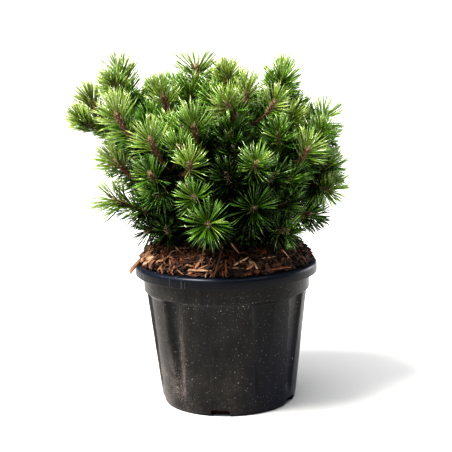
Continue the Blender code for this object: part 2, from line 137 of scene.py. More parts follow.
def placed(shape, axes, sizes, spots):  # copies of a small shape, turned, sized and moved
    local = shape[None] * sizes[:, None]
    return np.einsum("nij,nkj->nki", axes, local) + spots[:, None]


def newMaterial(name, colour, roughness, **sockets):
    material = bpy.data.materials.new(name)
    material.use_nodes = True
    shader = material.node_tree.nodes["Principled BSDF"]
    shader.inputs["Base Color"].default_value = (*colour, 1.0)
    shader.inputs["Roughness"].default_value = roughness
    for socket, value in sockets.items():
        shader.inputs[socket.replace("_", " ")].default_value = value
    return material, material.node_tree, shader


def addNode(tree, kind, inputs, **settings):
    made = tree.nodes.new("ShaderNode" + kind)
    for key, value in settings.items():
        setattr(made, key, value)
    for key, value in inputs.items():
        if isinstance(value, bpy.types.NodeSocket):
            tree.links.new(value, made.inputs[key])
        else:
            made.inputs[key].default_value = value
    return made


def noiseOf(tree, vector, scale, detail=3.0, roughness=0.55):
    inputs = {"Vector": vector, "Scale": scale, "Detail": detail, "Roughness": roughness}
    return addNode(tree, "TexNoise", inputs).outputs["Fac"]


def stretchedBy(tree, vector, scale):
    return addNode(tree, "Mapping", {"Vector": vector, "Scale": scale}).outputs["Vector"]


def ranged(tree, value, low, high, start=0.0, end=1.0):
    inputs = {"Value": value, "From Min": low, "From Max": high, "To Min": start, "To Max": end}
    return addNode(tree, "MapRange", inputs).outputs["Result"]


def maths(tree, operation, a, b):
    return addNode(tree, "Math", {0: a, 1: b}, operation=operation).outputs["Value"]


def timesOf(tree, a, b):
    return maths(tree, "MULTIPLY", a, b)


def blended(tree, share, a, b):  # a colour between two others, each a socket or red, green and blue
    a, b = (c if isinstance(c, bpy.types.NodeSocket) else (*c, 1.0) for c in (a, b))
    return addNode(tree, "Mix", {0: share, 6: a, 7: b}, data_type="RGBA").outputs[2]


def bumped(tree, shader, height, distance, strength=1.0):
    made = addNode(tree, "Bump", {"Height": height, "Distance": distance, "Strength": strength})
    tree.links.new(made.outputs["Normal"], shader.inputs["Normal"])


pot = {
    "top": 0.1796,
    "baseRadius": 0.0850,
    "baseCorner": 0.0035,
    "swell": (0.0012, 0.0040),  # how much wider the wall is at the two heights of channelFoot
    "wallTop": 0.1413,
    "wallTopRadius": 0.1013,
    "collarFoot": 0.1455,
    "collarRadius": 0.1052,
    "rimRadius": 0.1150,
    "rimDrop": 0.0138,
    "lipWidth": 0.0102,
    "lipDepth": 0.0034,
    "draft": 0.0004,  # upright faces slope in by about this much
    "wall": 0.0018,
    "floor": 0.0022,
    "steps": 288,  # round the pot
    "channels": (-75.5, -41.6, 25.6, 58.3, 113.5, 145.5, 199.0, 231.0),  # azimuths of their middles
    "channelHalfWidth": (3.6, 9.2),  # degrees, at the foot and under the collar
    "channelDepth": (0.0030, 0.0052),
    "channelFoot": (0.012, 0.035),
    "notchCount": 5,
    "firstNotch": -8.0,
    "notchWidth": (0.0250, 0.0215),
    "notchHeight": 0.0085,
    "notchInner": 0.068,
    "notchBeyond": 0.01,  # how far the cutters stand out past the foot
    "notchRounding": 0.0012,
}

lathe = {
    "cornerSegments": 4,
    "longEdge": 0.012,  # upright edges longer than this are cut
    "longCuts": 10,
    "weld": 1e-6,
}


def spunProfile(points, steps, seamAzimuth):  # points are (radius, height, rounding)
    bm = bmesh.new()
    verts = [bm.verts.new((r, 0.0, z)) for r, z, _ in points]
    bm.faces.new(verts)
    for vert, (_, _, rounding) in zip(verts, points):
        if rounding:
            bmesh.ops.bevel(bm, geom=[vert], offset=rounding, offset_type="OFFSET", affect="VERTICES",
                            segments=lathe["cornerSegments"], profile=0.5, material=-1)
    bmesh.ops.delete(bm, geom=bm.faces[:], context="FACES_ONLY")
    onAxis = [e for e in bm.edges if all(v.co.x < lathe["weld"] for v in e.verts)]
    bmesh.ops.delete(bm, geom=onAxis, context="EDGES")
    long = [e for e in bm.edges if e.calc_length() > lathe["longEdge"]
            and abs(e.verts[0].co.z - e.verts[1].co.z) > lathe["longEdge"]]
    bmesh.ops.subdivide_edges(bm, edges=long, cuts=lathe["longCuts"])
    turn = Matrix.Rotation(math.radians(seamAzimuth - 90), 3, "Z")
    bmesh.ops.rotate(bm, cent=(0, 0, 0), matrix=turn, verts=bm.verts)
    bmesh.ops.spin(bm, geom=bm.verts[:] + bm.edges[:], cent=(0, 0, 0), axis=(0, 0, 1), dvec=(0, 0, 0),
                   angle=math.tau, steps=steps, use_merge=True)
    bmesh.ops.remove_doubles(bm, verts=bm.verts, dist=lathe["weld"])
    bmesh.ops.recalc_face_normals(bm, faces=bm.faces)
    return bm


def channelAt(co):  # how far a point is pressed in, and where it lies across the channel, from -1 to 1
    low, high = pot["channelFoot"]
    if not low < co.z < (pot["wallTop"] + pot["collarFoot"]) / 2:
        return 0.0, 0.0
    azimuth = math.degrees(math.atan2(co.x, -co.y))
    turned = min(((azimuth - middle + 180.0) % 360.0 - 180.0 for middle in pot["channels"]), key=abs)
    height = (co.z - low) / (pot["wallTop"] - low)
    across = turned / between(pot["channelHalfWidth"], height)
    if abs(across) >= 1.0:
        return 0.0, 0.0
    rise = min(1.0, (co.z - low) / (high - low))
    depth = between(pot["channelDepth"], height) * (1.0 - abs(across) ** 3)
    return depth * rise * rise * (3 - 2 * rise), across


def notchCutters():  # wedges that reach as far below the ground as above it
    bm = bmesh.new()
    low, high = pot["notchWidth"]
    for number in range(pot["notchCount"]):
        made = bmesh.ops.create_cube(bm, size=1.0)["verts"]
        for vert in made:
            up = vert.co.z > 0
            width = (high if up else low + (low - high)) / 2
            depth = pot["notchInner"] if vert.co.y > 0 else pot["baseRadius"] + pot["notchBeyond"]
            height = pot["notchHeight"] if up else -pot["notchHeight"]
            vert.co = Vector((math.copysign(width, vert.co.x), -depth, height))
        edges = [e for e in bm.edges if e.verts[0] in made and e.verts[0].co.z > 0 and e.verts[1].co.z > 0
                 and abs(e.verts[0].co.x - e.verts[1].co.x) < lathe["weld"]]
        rounded = bmesh.ops.bevel(bm, geom=edges, offset=pot["notchRounding"], affect="EDGES",
                                  segments=3, profile=0.5, material=-1)
        part = list(set(rounded["verts"]) | {v for v in made if v.is_valid})
        turn = Matrix.Rotation(math.radians(pot["firstNotch"] + 360 / pot["notchCount"] * number), 3, "Z")
        bmesh.ops.rotate(bm, cent=(0, 0, 0), matrix=turn, verts=part)
    cutter = bpy.data.objects.new("notchCutter", meshFrom(bm, "notchCutter"))
    bpy.context.scene.collection.objects.link(cutter)
    return cutter


potFinish = {
    "plastic": (0.0040, 0.0040, 0.0044),
    # the wall's dust, also laid on as painted light on the lit left and on lit channel walls
    "dustAndPaintedLight": (0.046, 0.0400, 0.0345),
    "grit": (0.36, 0.30, 0.28),
    "paintedShadeBlack": (0.0045, 0.0055, 0.0150),  # painted shade, low on the right
    # a painted cool reflection on the hanging rim
    "rimReflectionBlack": (0.0040, 0.0048, 0.0080),
    # a painted blue sheen on the rolled lip
    "lipSheenBlack": (0.012, 0.0165, 0.030),
    "scratch": (0.16, 0.15, 0.145),
    "speck": (0.85, 0.80, 0.76),
    "specks": (  # scale, size, share of the cells without one
        (950.0, 0.27, 0.87), (560.0, 0.23, 0.92), (260.0, 0.145, 0.945),
    ),
    "gritEdge": (0.70, 0.63),  # radians round from the front to the gritty channel's edge, low and high
    "roughness": (0.29, 0.42),
    "grainHeight": 0.00030,
}


# pale grit caught low on the left and along the edge of a channel: where it may lie, and where it does
def gritShare(tree, around, place, cloudy, grain):
    corner = timesOf(tree, ranged(tree, place["X"], -0.043, -0.072), ranged(tree, place["Z"], 0.075, 0.020))
    nearGround = ranged(tree, place["Z"], 0.060, 0.005, 0.0, 0.52)
    spill = timesOf(tree, ranged(tree, place["X"], 0.028, -0.050), nearGround)
    fromEdge = maths(tree, "ADD", around, ranged(tree, place["Z"], 0.020, 0.120, *potFinish["gritEdge"]))
    edge = maths(tree, "ABSOLUTE", fromEdge, 0.0)
    strip = timesOf(tree, ranged(tree, edge, 0.085, 0.02), ranged(tree, place["Z"], 0.115, 0.080, 0.0, 0.5))
    caught = maths(tree, "MAXIMUM", maths(tree, "MAXIMUM", corner, spill), strip)
    grit = ranged(tree, maths(tree, "ADD", grain, timesOf(tree, cloudy, 0.6)), 0.84, 0.98)
    return caught, timesOf(tree, timesOf(tree, caught, grit), ranged(tree, cloudy, 0.36, 0.60, 0.3, 0.9))


def speckled(tree, colour, coord, caught, gathered):  # three sizes of pale specks
    for scale, size, without in potFinish["specks"]:
        cells = addNode(tree, "TexVoronoi", {"Vector": coord, "Scale": scale, "Randomness": 1.0})
        pick = addNode(tree, "SeparateColor", {"Color": cells.outputs["Color"]}).outputs
        reach = timesOf(tree, ranged(tree, pick[2], 0.0, 1.0, 0.45, 1.0), size)
        dot = maths(tree, "LESS_THAN", cells.outputs["Distance"], reach)
        chance = maths(tree, "ADD", pick[0], timesOf(tree, caught, 0.26))
        chosen = maths(tree, "GREATER_THAN", chance, without)
        speck = timesOf(tree, timesOf(tree, dot, chosen), maths(tree, "POWER", pick[1], 1.2))
        colour = blended(tree, timesOf(tree, speck, gathered), colour, potFinish["speck"])
    return colour


def makePotPlastic():
    middle = (0.02, 0.019, 0.018)
    material, tree, shader = newMaterial("dustyPotPlastic", middle, 0.42, Specular_IOR_Level=0.21)
    coord = addNode(tree, "TexCoord", {}).outputs["Object"]
    place = addNode(tree, "SeparateXYZ", {"Vector": coord}).outputs
    around = maths(tree, "ARCTAN2", place["X"], timesOf(tree, place["Y"], -1.0))
    cloudy = noiseOf(tree, coord, 26.0, 5.0, 0.62)
    smeared = noiseOf(tree, stretchedBy(tree, coord, (75.0, 75.0, 14.0)), 1.0, 4.0, 0.6)
    grain = noiseOf(tree, coord, 1100.0, 2.0)
    lowDown = ranged(tree, place["Z"], 0.135, 0.03)
    inside = addNode(tree, "Attribute", {}, attribute_name="channel").outputs["Fac"]
    across = addNode(tree, "Attribute", {}, attribute_name="channelSide").outputs["Fac"]
    # the wall's dusty film carries painted light and shade: it is thicker on the lit left, thinnest on the
    # shaded right, and in each channel thin on the shaded left wall and heavier on the lit right wall
    paintedLightLeft = ranged(tree, place["X"], -0.052, -0.078, 0.50, 1.35)
    paintedShadeRight = ranged(tree, place["X"], 0.010, 0.055, 1.0, 0.22)
    smears = ranged(tree, maths(tree, "ADD", cloudy, smeared), 0.70, 1.30)
    filmAndPaintedLight = timesOf(tree, smears, timesOf(tree, paintedLightLeft, paintedShadeRight))
    paintedChannelShade = timesOf(tree, inside, ranged(tree, across, -0.16, 0.24, 0.92, -0.10))
    filmAndPaintedLight = timesOf(tree, filmAndPaintedLight, maths(tree, "SUBTRACT", 1.0, paintedChannelShade))
    colour = blended(tree, filmAndPaintedLight, potFinish["plastic"], potFinish["dustAndPaintedLight"])
    caught, dusty = gritShare(tree, around, place, cloudy, grain)
    colour = blended(tree, dusty, colour, potFinish["grit"])
    # painted shade: the low right, away from the light, is a darker, bluer black; the rim's bluer black below
    # is a painted reflection
    rimBand = ranged(tree, place["Z"], 0.1635, 0.1665)
    lowRightShade = timesOf(tree, ranged(tree, place["X"], 0.005, 0.062), timesOf(tree, lowDown, 0.9))
    colour = blended(tree, lowRightShade, colour, potFinish["paintedShadeBlack"])
    # painted reflection: the hanging rim is tinted a bluer black
    colour = blended(tree, timesOf(tree, rimBand, 0.85), colour, potFinish["rimReflectionBlack"])
    body = ranged(tree, place["Z"], 0.168, 0.150, 0.12, 1.0)
    gathered = timesOf(tree, body, ranged(tree, cloudy, 0.35, 0.62, 0.25, 1.0))
    colour = speckled(tree, colour, coord, caught, gathered)
    # the rolled lip is a smoother black, with a painted blue sheen in its colour
    lip = ranged(tree, place["Z"], 0.1728, 0.1772)
    colour = blended(tree, timesOf(tree, lip, 0.85), colour, potFinish["lipSheenBlack"])
    # long scratches down the hanging rim
    streaks = noiseOf(tree, stretchedBy(tree, coord, (330.0, 330.0, 7.0)), 1.0, 2.0)
    onSkirt = timesOf(tree, rimBand, ranged(tree, place["X"], -0.040, -0.085))
    scratches = timesOf(tree, ranged(tree, streaks, 0.64, 0.70), onSkirt)
    colour = blended(tree, scratches, colour, potFinish["scratch"])
    tree.links.new(colour, shader.inputs["Base Color"])
    rough = ranged(tree, cloudy, 0.3, 0.7, *potFinish["roughness"])
    rough = maths(tree, "SUBTRACT", rough, timesOf(tree, lip, 0.04))
    rough = maths(tree, "ADD", rough, timesOf(tree, dusty, 0.3))
    tree.links.new(rough, shader.inputs["Roughness"])
    fine = maths(tree, "ADD", timesOf(tree, grain, 0.4), noiseOf(tree, coord, 140.0))
    bumped(tree, shader, fine, potFinish["grainHeight"], 0.45)
    return material


def potOutline():  # radius, height and rounding, from the middle of the underside over the rim to the floor
    base, corner, draft, wall = pot["baseRadius"], pot["baseCorner"], pot["draft"], pot["wall"]
    low, high = (base + swell for swell in pot["swell"])
    foot, faded = pot["channelFoot"]
    top, rim, collar = pot["top"], pot["rimRadius"], pot["collarRadius"]
    skirt, shelf, inner = top - pot["rimDrop"], top - pot["lipDepth"], rim - pot["lipWidth"]
    outside = [
        (0.0, 0.0, 0), (base - corner, 0.0, 0), (base, corner, 0.0012), (low, foot, 0), (high, faded, 0),
        (pot["wallTopRadius"], pot["wallTop"], 0.0008), (collar - draft, pot["collarFoot"], 0.0006),
        (collar, skirt, 0), (collar + draft, shelf, 0),
    ]
    overRim = [
        (rim - wall, shelf, 0.0006), (rim - wall, skirt, 0.0005), (rim, skirt, 0.0007), (rim, top, 0.0054),
        (inner, top, 0.0034),
    ]
    inside = [
        (collar - wall, shelf - wall, 0), (collar - draft - wall, pot["collarFoot"], 0),
        (pot["wallTopRadius"] - wall, pot["wallTop"], 0), (high - wall, faded, 0), (low - wall, foot, 0),
        (base - corner, pot["floor"], 0.0015), (0.0, pot["floor"], 0),
    ]
    return outside + overRim + inside


def makePot():
    bm = spunProfile(potOutline(), pot["steps"], pot["firstNotch"])
    for vert in bm.verts:
        vert.co -= Vector((vert.co.x, vert.co.y, 0.0)).normalized() * channelAt(vert.co)[0]
    shell = bpy.data.objects.new("potShell", meshFrom(bm, "potShell"))
    bpy.context.scene.collection.objects.link(shell)
    cutter = notchCutters()
    cut = shell.modifiers.new("notches", "BOOLEAN")
    cut.operation = "DIFFERENCE"
    cut.object = cutter
    mesh = applied(shell)
    bpy.data.objects.remove(cutter)
    found = [channelAt(v.co) for v in mesh.vertices]
    insides, sides = [min(1.0, depth * 400) for depth, _ in found], [side for _, side in found]
    for name, values in (("channel", insides), ("channelSide", sides)):
        mesh.attributes.new(name, "FLOAT", "POINT").data.foreach_set("value", values)
    dressed(mesh, "pot_shell", makePotPlastic(), ["pot"], 24)


makePot()


mulch = {
    "radius": 0.1080,
    "edge": 0.1815,
    "top": 0.2065,
    "flat": 0.020,
    "steps": 128,
    "sink": 0.0030,  # how far the bed lies under the tops of the chips
    "play": 0.0006,  # between the compost and the wall
    "rings": (0.1035, 0.004, 26),  # the outermost and the innermost radius, and how many
    "lumps": 0.0024,
    "lumpZone": (0.018, 0.104),
    "earth": ((0.010, 0.005, 0.003), (0.085, 0.038, 0.018)),
}


def moundHeight(radius):
    share = np.maximum(0.0, radius - mulch["flat"]) / (mulch["radius"] - mulch["flat"])
    return mulch["edge"] + (mulch["top"] - mulch["edge"]) * (1.0 - np.minimum(share, 1.0) ** 6)


def makeEarth():
    material, tree, shader = newMaterial("darkCompost", (0.03, 0.016, 0.009), 0.95)
    coord = addNode(tree, "TexCoord", {}).outputs["Object"]
    crumbs = noiseOf(tree, coord, 320.0, 6.0, 0.7)
    colour = blended(tree, ranged(tree, crumbs, 0.35, 0.7), *mulch["earth"])
    tree.links.new(colour, shader.inputs["Base Color"])
    bumped(tree, shader, crumbs, 0.002, 0.9)
    return material


def makeMulchBed():
    wall, inner = pot["wall"] + mulch["play"], pot["rimRadius"] - pot["lipWidth"]
    pressed = pot["channelDepth"][1] + wall
    foot, collar = pot["baseRadius"] - pressed, pot["collarRadius"] - wall - pot["draft"]
    floor, top = pot["floor"] + 0.0003, pot["top"]
    points = [
        (0.0, floor, 0), (foot, floor, 0), (foot, pot["channelFoot"][0], 0),
        (pot["wallTopRadius"] - pressed, pot["wallTop"], 0),
        (collar, pot["collarFoot"] + 0.001, 0), (collar, top - 0.007, 0),
        (inner - mulch["play"], top - 0.0015, 0), (inner - mulch["play"], top + 0.0004, 0),
    ]
    points += [(r, float(moundHeight(r)) - mulch["sink"], 0) for r in np.linspace(*mulch["rings"])]
    points.append((0.0, mulch["top"] - mulch["sink"], 0))
    bm = spunProfile(points, mulch["steps"], 0.0)
    low, high = mulch["lumpZone"]
    for vert in bm.verts:
        away = math.hypot(vert.co.x, vert.co.y)
        if vert.co.z > mulch["edge"] - mulch["sink"] and low < away < high:
            vert.co.z += mulch["lumps"] * noise.noise(vert.co * 120) * min(1.0, (away - low) / 0.01)
    dressed(meshFrom(bm, "mulchBed"), "mulch_bed", makeEarth(), ["bark_mulch"], 60)


makeMulchBed()

chips = {
    "seed": 5,
    "count": 3800,
    "shapesPerKind": 6,
    "layers": 0.0070,
    "spread": 0.1085,
    "onRim": 0.1035,  # chips that reach past this lie on the rim
    "outermost": 0.1125,
    "aboveRim": 0.0003,
    "kinds": {  # share, length, width, thickness in mm
        "flake": (0.16, (7, 14), (3.2, 6.2), (0.9, 1.8)),
        "shred": (0.66, (7, 20), (1.2, 3.0), (0.7, 1.5)),
        "stick": (0.07, (18, 34), (1.5, 2.8), (1.2, 2.2)),
        "crumb": (0.11, (3, 7), (2, 4.5), (1.2, 2.6)),
    },
    "tilt": 0.34,
    "tints": {  # share, two base colours that its noise runs between
        "chips_pale": (0.03, (0.290, 0.162, 0.090), (0.600, 0.420, 0.280)),
        "chips_tan": (0.11, (0.150, 0.070, 0.036), (0.380, 0.212, 0.124)),
        "chips_orange": (0.26, (0.082, 0.027, 0.011), (0.240, 0.094, 0.040)),
        "chips_brown": (0.34, (0.028, 0.011, 0.005), (0.108, 0.043, 0.020)),
        "chips_dark": (0.26, (0.007, 0.0035, 0.002), (0.036, 0.016, 0.009)),
    },
    "placed": {  # single pieces: tint, one end, the other end, width and thickness
        "over_the_rim": ("chips_tan", (-0.1060, -0.0200, 0.1880), (-0.1212, -0.0300, 0.1705), 0.0070, 0.0018),
        "grey_stick": ("chips_pale", (0.0056, -0.1027, 0.1915), (0.0261, -0.0914, 0.1995), 0.0030, 0.0020),
        "pale_shred": ("chips_pale", (-0.0450, -0.0965, 0.1872), (-0.0175, -0.1040, 0.1875), 0.0040, 0.0020),
        "red_shred": ("chips_orange", (0.0470, -0.0965, 0.1850), (0.0735, -0.0805, 0.1848), 0.0042, 0.0018),
        "steep_shred": ("chips_tan", (-0.0310, -0.0935, 0.1950), (-0.0235, -0.0780, 0.2065), 0.0036, 0.0016),
        "left_shred": ("chips_tan", (-0.0365, -0.0975, 0.1895), (-0.0274, -0.0895, 0.2015), 0.0046, 0.0018),
        "leaner": ("chips_orange", (-0.0545, -0.0835, 0.1950), (-0.0425, -0.0760, 0.2050), 0.0060, 0.0018),
        "left_heap_a": ("chips_tan", (-0.1050, -0.0200, 0.1860), (-0.0940, -0.0120, 0.2030), 0.0062, 0.0018),
        "left_heap_b": ("chips_pale", (-0.1000, -0.0360, 0.1880), (-0.0900, -0.0300, 0.2020), 0.0048, 0.0018),
        "left_heap_c": ("chips_tan", (-0.0940, -0.0525, 0.1880), (-0.0820, -0.0560, 0.2000), 0.0050, 0.0018),
        "round_flake": ("chips_tan", (0.0235, -0.1030, 0.1880), (0.0320, -0.0975, 0.1930), 0.0062, 0.0020),
    },
    "shadeSide": 0.35,  # painted shade: share of the chips that are dark at the right edge
    "heap": {  # pale chips piled up at the left edge; their paleness is partly painted light on that lit edge
        "at": (-0.0965, -0.0300),
        "outermost": 0.1055,
        "spread": (0.0055, 0.0130),
        "count": 95,
        "size": ((6, 13), (3.0, 6.0), (0.9, 1.8)),
        "lift": (0.0, 0.0085),
        "tints": ("chips_pale", "chips_tan", "chips_tan"),
    },
}


def chipShape(rng, kind):  # a split bark chip, one unit long, wide and thick
    bm = bmesh.new()
    bmesh.ops.create_cube(bm, size=1.0)
    lengthwise = [e for e in bm.edges if abs(e.verts[0].co.x - e.verts[1].co.x) > 0.5]
    bmesh.ops.subdivide_edges(bm, edges=lengthwise, cuts=3)
    bow = rng.uniform(-0.5, 0.9)
    skew = rng.uniform(-0.25, 0.25)
    for vert in bm.verts:
        x = vert.co.x
        point = 1.0 - (2 * abs(x)) ** 3 * rng.uniform(0.25, 0.80)
        vert.co.y = vert.co.y * point + rng.uniform(-0.12, 0.12) + skew * x
        vert.co.z = vert.co.z * (0.55 + 0.45 * point) + bow * (0.25 - x * x) + rng.uniform(-0.12, 0.12)
        vert.co.x = x + rng.uniform(-0.09, 0.09)
    if kind == "crumb":
        bmesh.ops.smooth_vert(bm, verts=bm.verts, factor=0.6,
                              use_axis_x=True, use_axis_y=True, use_axis_z=True)
    return templateOf(bm)


def makeChipMaterial(name, dark, pale):
    material, tree, shader = newMaterial(name, pale, 0.78)
    coord = addNode(tree, "TexCoord", {}).outputs["Object"]
    patches = noiseOf(tree, coord, 150.0, 3.0)
    fibres = noiseOf(tree, stretchedBy(tree, coord, (1.0, 2.6, 2.6)), 520.0, 3.0, 0.65)
    share = ranged(tree, maths(tree, "ADD", patches, fibres), 0.72, 1.28)
    tree.links.new(blended(tree, share, dark, pale), shader.inputs["Base Color"])
    bumped(tree, shader, fibres, 0.0007, 0.8)
    return material


def placedChip(shape, start, end, width, depth):
    start, end = np.array(start), np.array(end)
    length = np.linalg.norm(end - start)
    along = (end - start) / length
    side = np.cross((0.0, 0.0, 1.0), along)
    side /= np.linalg.norm(side)
    axes = np.stack((along, side, np.cross(along, side)), 1)
    return (shape * (length, width, depth) @ axes.T + (start + end) / 2)[None]


def laidChips(shape, sizes, away, around, lift, nrng):  # copies of a chip lying on the mound
    spots = np.stack([away * np.cos(around), away * np.sin(around), moundHeight(away) + lift], 1)
    slope = (moundHeight(away + 0.002) - moundHeight(np.maximum(away - 0.002, 0))) / 0.004
    slope = np.clip(slope, -1.1, 0)
    normal = np.stack([-slope * np.cos(around), -slope * np.sin(around), np.ones(len(away))], 1)
    normal += nrng.normal(0, chips["tilt"], (len(away), 3))
    world = placed(shape, turns(normal, nrng.uniform(0, math.tau, len(away))), sizes, spots)
    low = world[:, :, 2].min(1)
    reach = np.hypot(world[:, :, 0], world[:, :, 1]).max(1)
    floor = np.where(reach > chips["onRim"], pot["top"] + chips["aboveRim"], 0.0)
    world[:, :, 2] += np.maximum(0.0, floor - low)[:, None]
    return world[reach < chips["outermost"]]


def scatteredChips(shapes, batches, nrng):
    perKind = chips["shapesPerKind"]
    for kind, (part, *bounds) in chips["kinds"].items():
        for tint, (share, *_) in chips["tints"].items():
            for shape, tris in shapes[kind]:
                count = int(chips["count"] * part * share / perKind)
                away = chips["spread"] * np.sqrt(nrng.uniform(0.02, 1.0, count))
                around = nrng.uniform(0, math.tau, count)
                sizes = np.stack([nrng.uniform(*bound, count) for bound in bounds], 1) / 1000
                lift = nrng.uniform(-0.6, 0.45, count) * chips["layers"]
                world = laidChips(shape, sizes, away, around, lift, nrng)
                # painted shade: towards the right edge more chips are dealt the dark tint
                paintedShadeRight = np.clip(world[:, 0, 0] / 0.08, 0, 1)
                inShade = chips["shadeSide"] * paintedShadeRight > nrng.uniform(0, 1, len(world))
                batches[tint].append((world[~inShade], tris))
                batches["chips_dark"].append((world[inShade], tris))


def heapedChips(shapes, batches, nrng):
    heap = chips["heap"]
    for number in range(heap["count"]):
        shape, tris = shapes["flake" if number % 3 else "shred"][number % chips["shapesPerKind"]]
        x, y = nrng.normal(heap["at"], heap["spread"])
        sizes = np.array([[nrng.uniform(*bound) for bound in heap["size"]]]) / 1000
        away, around = np.array([math.hypot(x, y)]), np.array([math.atan2(y, x)])
        lift = nrng.uniform(*heap["lift"], 1)
        world = laidChips(shape, sizes, np.minimum(away, heap["outermost"]), around, lift, nrng)
        batches[heap["tints"][number % len(heap["tints"])]].append((world, tris))


def makeChips():
    rng = random.Random(chips["seed"])
    nrng = np.random.default_rng(chips["seed"])
    perKind = chips["shapesPerKind"]
    shapes = {kind: [chipShape(rng, kind) for _ in range(perKind)] for kind in chips["kinds"]}
    batches = {tint: [] for tint in chips["tints"]}
    scatteredChips(shapes, batches, nrng)
    heapedChips(shapes, batches, nrng)
    for number, (tint, start, end, width, depth) in enumerate(chips["placed"].values()):
        shape, tris = shapes["stick" if number % 2 else "shred"][number % perKind]
        batches[tint].append((placedChip(shape, start, end, width, depth), tris))
    for tint, (_, dark, pale) in chips["tints"].items():
        mesh = joinedMesh(tint, batches[tint])
        dressed(mesh, tint, makeChipMaterial(tint, dark, pale), ["bark_mulch"], 30)


makeChips()


trunk = {
    "foot": 0.2068,
    "height": 0.084,
    "radii": (0.0115, 0.0088),
    "flare": (0.0055, 0.006),
    "lean": Vector((-0.007, 0.004, 0.0)),
    "bow": 1.4,
}

crown = {
    "heart": Vector((-0.005, 0.0, 0.235)),
    "tierHeights": (0.012, 0.027, 0.042, 0.057, 0.070),
    "tierRise": (6.0, 16.0, 28.0, 40.0, 50.0),
    "limbRadii": (0.0038, 0.0030, 0.0017),
    "boughEnd": 0.34,
    "limbPull": (0.38, 0.34),
    "tipLift": (0.12, 0.004),
    "centre": 0.80,
    "sideStart": (0.46, 0.82),
    "sideLength": (0.040, 0.060),
    "sideFork": (32.0, 56.0),
    "sideLift": 0.010,
    "sideTurn": 25.0,  # degrees that side shoots stray from the golden angle
    "twigRadii": (0.0024, 0.0018),
    "twigMargin": 0.0024,  # between a side shoot and what is next to it
    "limbMargin": 0.0008,
    "mulchMargin": 0.0026,
    "lookAround": 0.023,  # limbs further off than this can't be in the way
    "ownStemFrom": 0.36,  # share of its limb that a mass's own shoots may touch
    "onTrunk": ("front_low", "left_foot", "right_foot"),
    "masses": {  # azimuth, elevation, reach in mm, tier, side shoots, seed
        "high_left": (-103, 55, 222, 3, 4, 170),
        "far_left": (-92, 43, 216, 2, 4, 142),
        "left_shoulder": (-61, 46, 198, 3, 4, 23),
        "upper_left": (-60, 64, 180, 4, 4, 219),
        "crown_top": (-127, 80, 190, 4, 3, 157),
        "top_back": (165, 78, 186, 4, 3, 72),
        "top_right": (109, 63, 193, 4, 2, 219),
        "upper_right": (35, 69, 168, 4, 4, 294),
        "upper_front": (-16, 50, 161, 3, 4, 113),
        "right_shoulder": (91, 43, 178, 3, 4, 294),
        "right_front": (60, 36, 151, 2, 4, 238),
        "right_edge": (97, 22, 156, 1, 4, 13),
        "right_low": (84, 6, 128, 0, 4, 45),
        "front_right": (18, 31, 159, 2, 4, 1),
        "front_right_low": (18, 13, 128, 1, 4, 239),
        "front_low": (-6, 6, 142, 0, 2, 29),
        "front_left": (-13, 21, 142, 1, 4, 98),
        "left_front": (-38, 38, 164, 2, 4, 93),
        "left_mid": (-80, 33, 154, 1, 4, 260),
        "left_low": (-78, 12, 143, 0, 4, 146),
        "back_left_high": (-140, 50, 192, 3, 4, 12),
        "back_high": (170, 52, 186, 3, 4, 117),
        "back_right_high": (128, 44, 180, 2, 4, 109),
        "back_left": (-118, 24, 166, 1, 4, 80),
        "back_left_low": (-148, 10, 152, 0, 4, 133),
        "back": (-168, 30, 168, 2, 4, 117),
        "back_right": (150, 22, 160, 1, 4, 117),
        "back_right_low": (128, 6, 146, 0, 4, 207),
        "left_foot": (-70, -5, 104, 0, 3, 224),
        "right_foot": (48, -4, 106, 0, 3, 7),
    },
}


def trunkPoint(height):
    share = height / trunk["height"]
    return Vector((0.0, 0.0, trunk["foot"] + height)) + trunk["lean"] * share ** trunk["bow"]


def trunkRadius(height):
    flare, rise = trunk["flare"]
    return between(trunk["radii"], height / trunk["height"]) + flare * math.exp(-height / rise)


def aside(direction, clock, lean):  # leans away from a direction, towards a clock angle round it
    other = zAxis if abs(direction.z) < 0.98 else Vector((1, 0, 0))
    side = direction.cross(other).normalized()
    over = side.cross(direction)
    turn, tilt = math.radians(clock), math.radians(lean)
    return direction * math.cos(tilt) + (side * math.cos(turn) + over * math.sin(turn)) * math.sin(tilt)


def rootAzimuths():
    found = {}
    for tier in range(len(crown["tierHeights"])):
        members = sorted((row[0], name) for name, row in crown["masses"].items() if row[3] == tier)
        step = 360.0 / len(members)
        offset = sum(azimuth - step * rank for rank, (azimuth, _) in enumerate(members)) / len(members)
        for rank, (azimuth, name) in enumerate(members):
            found[name] = offset + step * rank
    return found


def limbOf(name, rootAzimuth):
    azimuth, elevation, reach, tier = crown["masses"][name][:4]
    start = trunkPoint(crown["tierHeights"][tier])
    out = heading(azimuth, elevation)
    tip = crown["heart"] + out * reach / 1000.0
    lift = crown["tipLift"][0] + crown["tipLift"][1] * max(0, elevation)
    span = (tip - start).length
    leave = heading(rootAzimuth, crown["tierRise"][tier]) * span * crown["limbPull"][0]
    arrive = (out + Vector((0, 0, lift))).normalized() * span * crown["limbPull"][1]
    return start, start + leave, tip - arrive, tip


def onCurve(limb, t):
    a, b, c, d = limb
    s = 1.0 - t
    return a * s**3 + b * (3 * s * s * t) + c * (3 * s * t * t) + d * t**3


def slopeOn(limb, t):
    a, b, c, d = limb
    s = 1.0 - t
    return ((b - a) * (3 * s * s) + (c - b) * (6 * s * t) + (d - c) * (3 * t * t)).normalized()


def limbRadius(share):
    root, fork, tip = crown["limbRadii"]
    end = crown["boughEnd"]
    if share < end:
        return root + (fork - root) * share / end
    return fork + (tip - fork) * (share - end) / (1.0 - end)


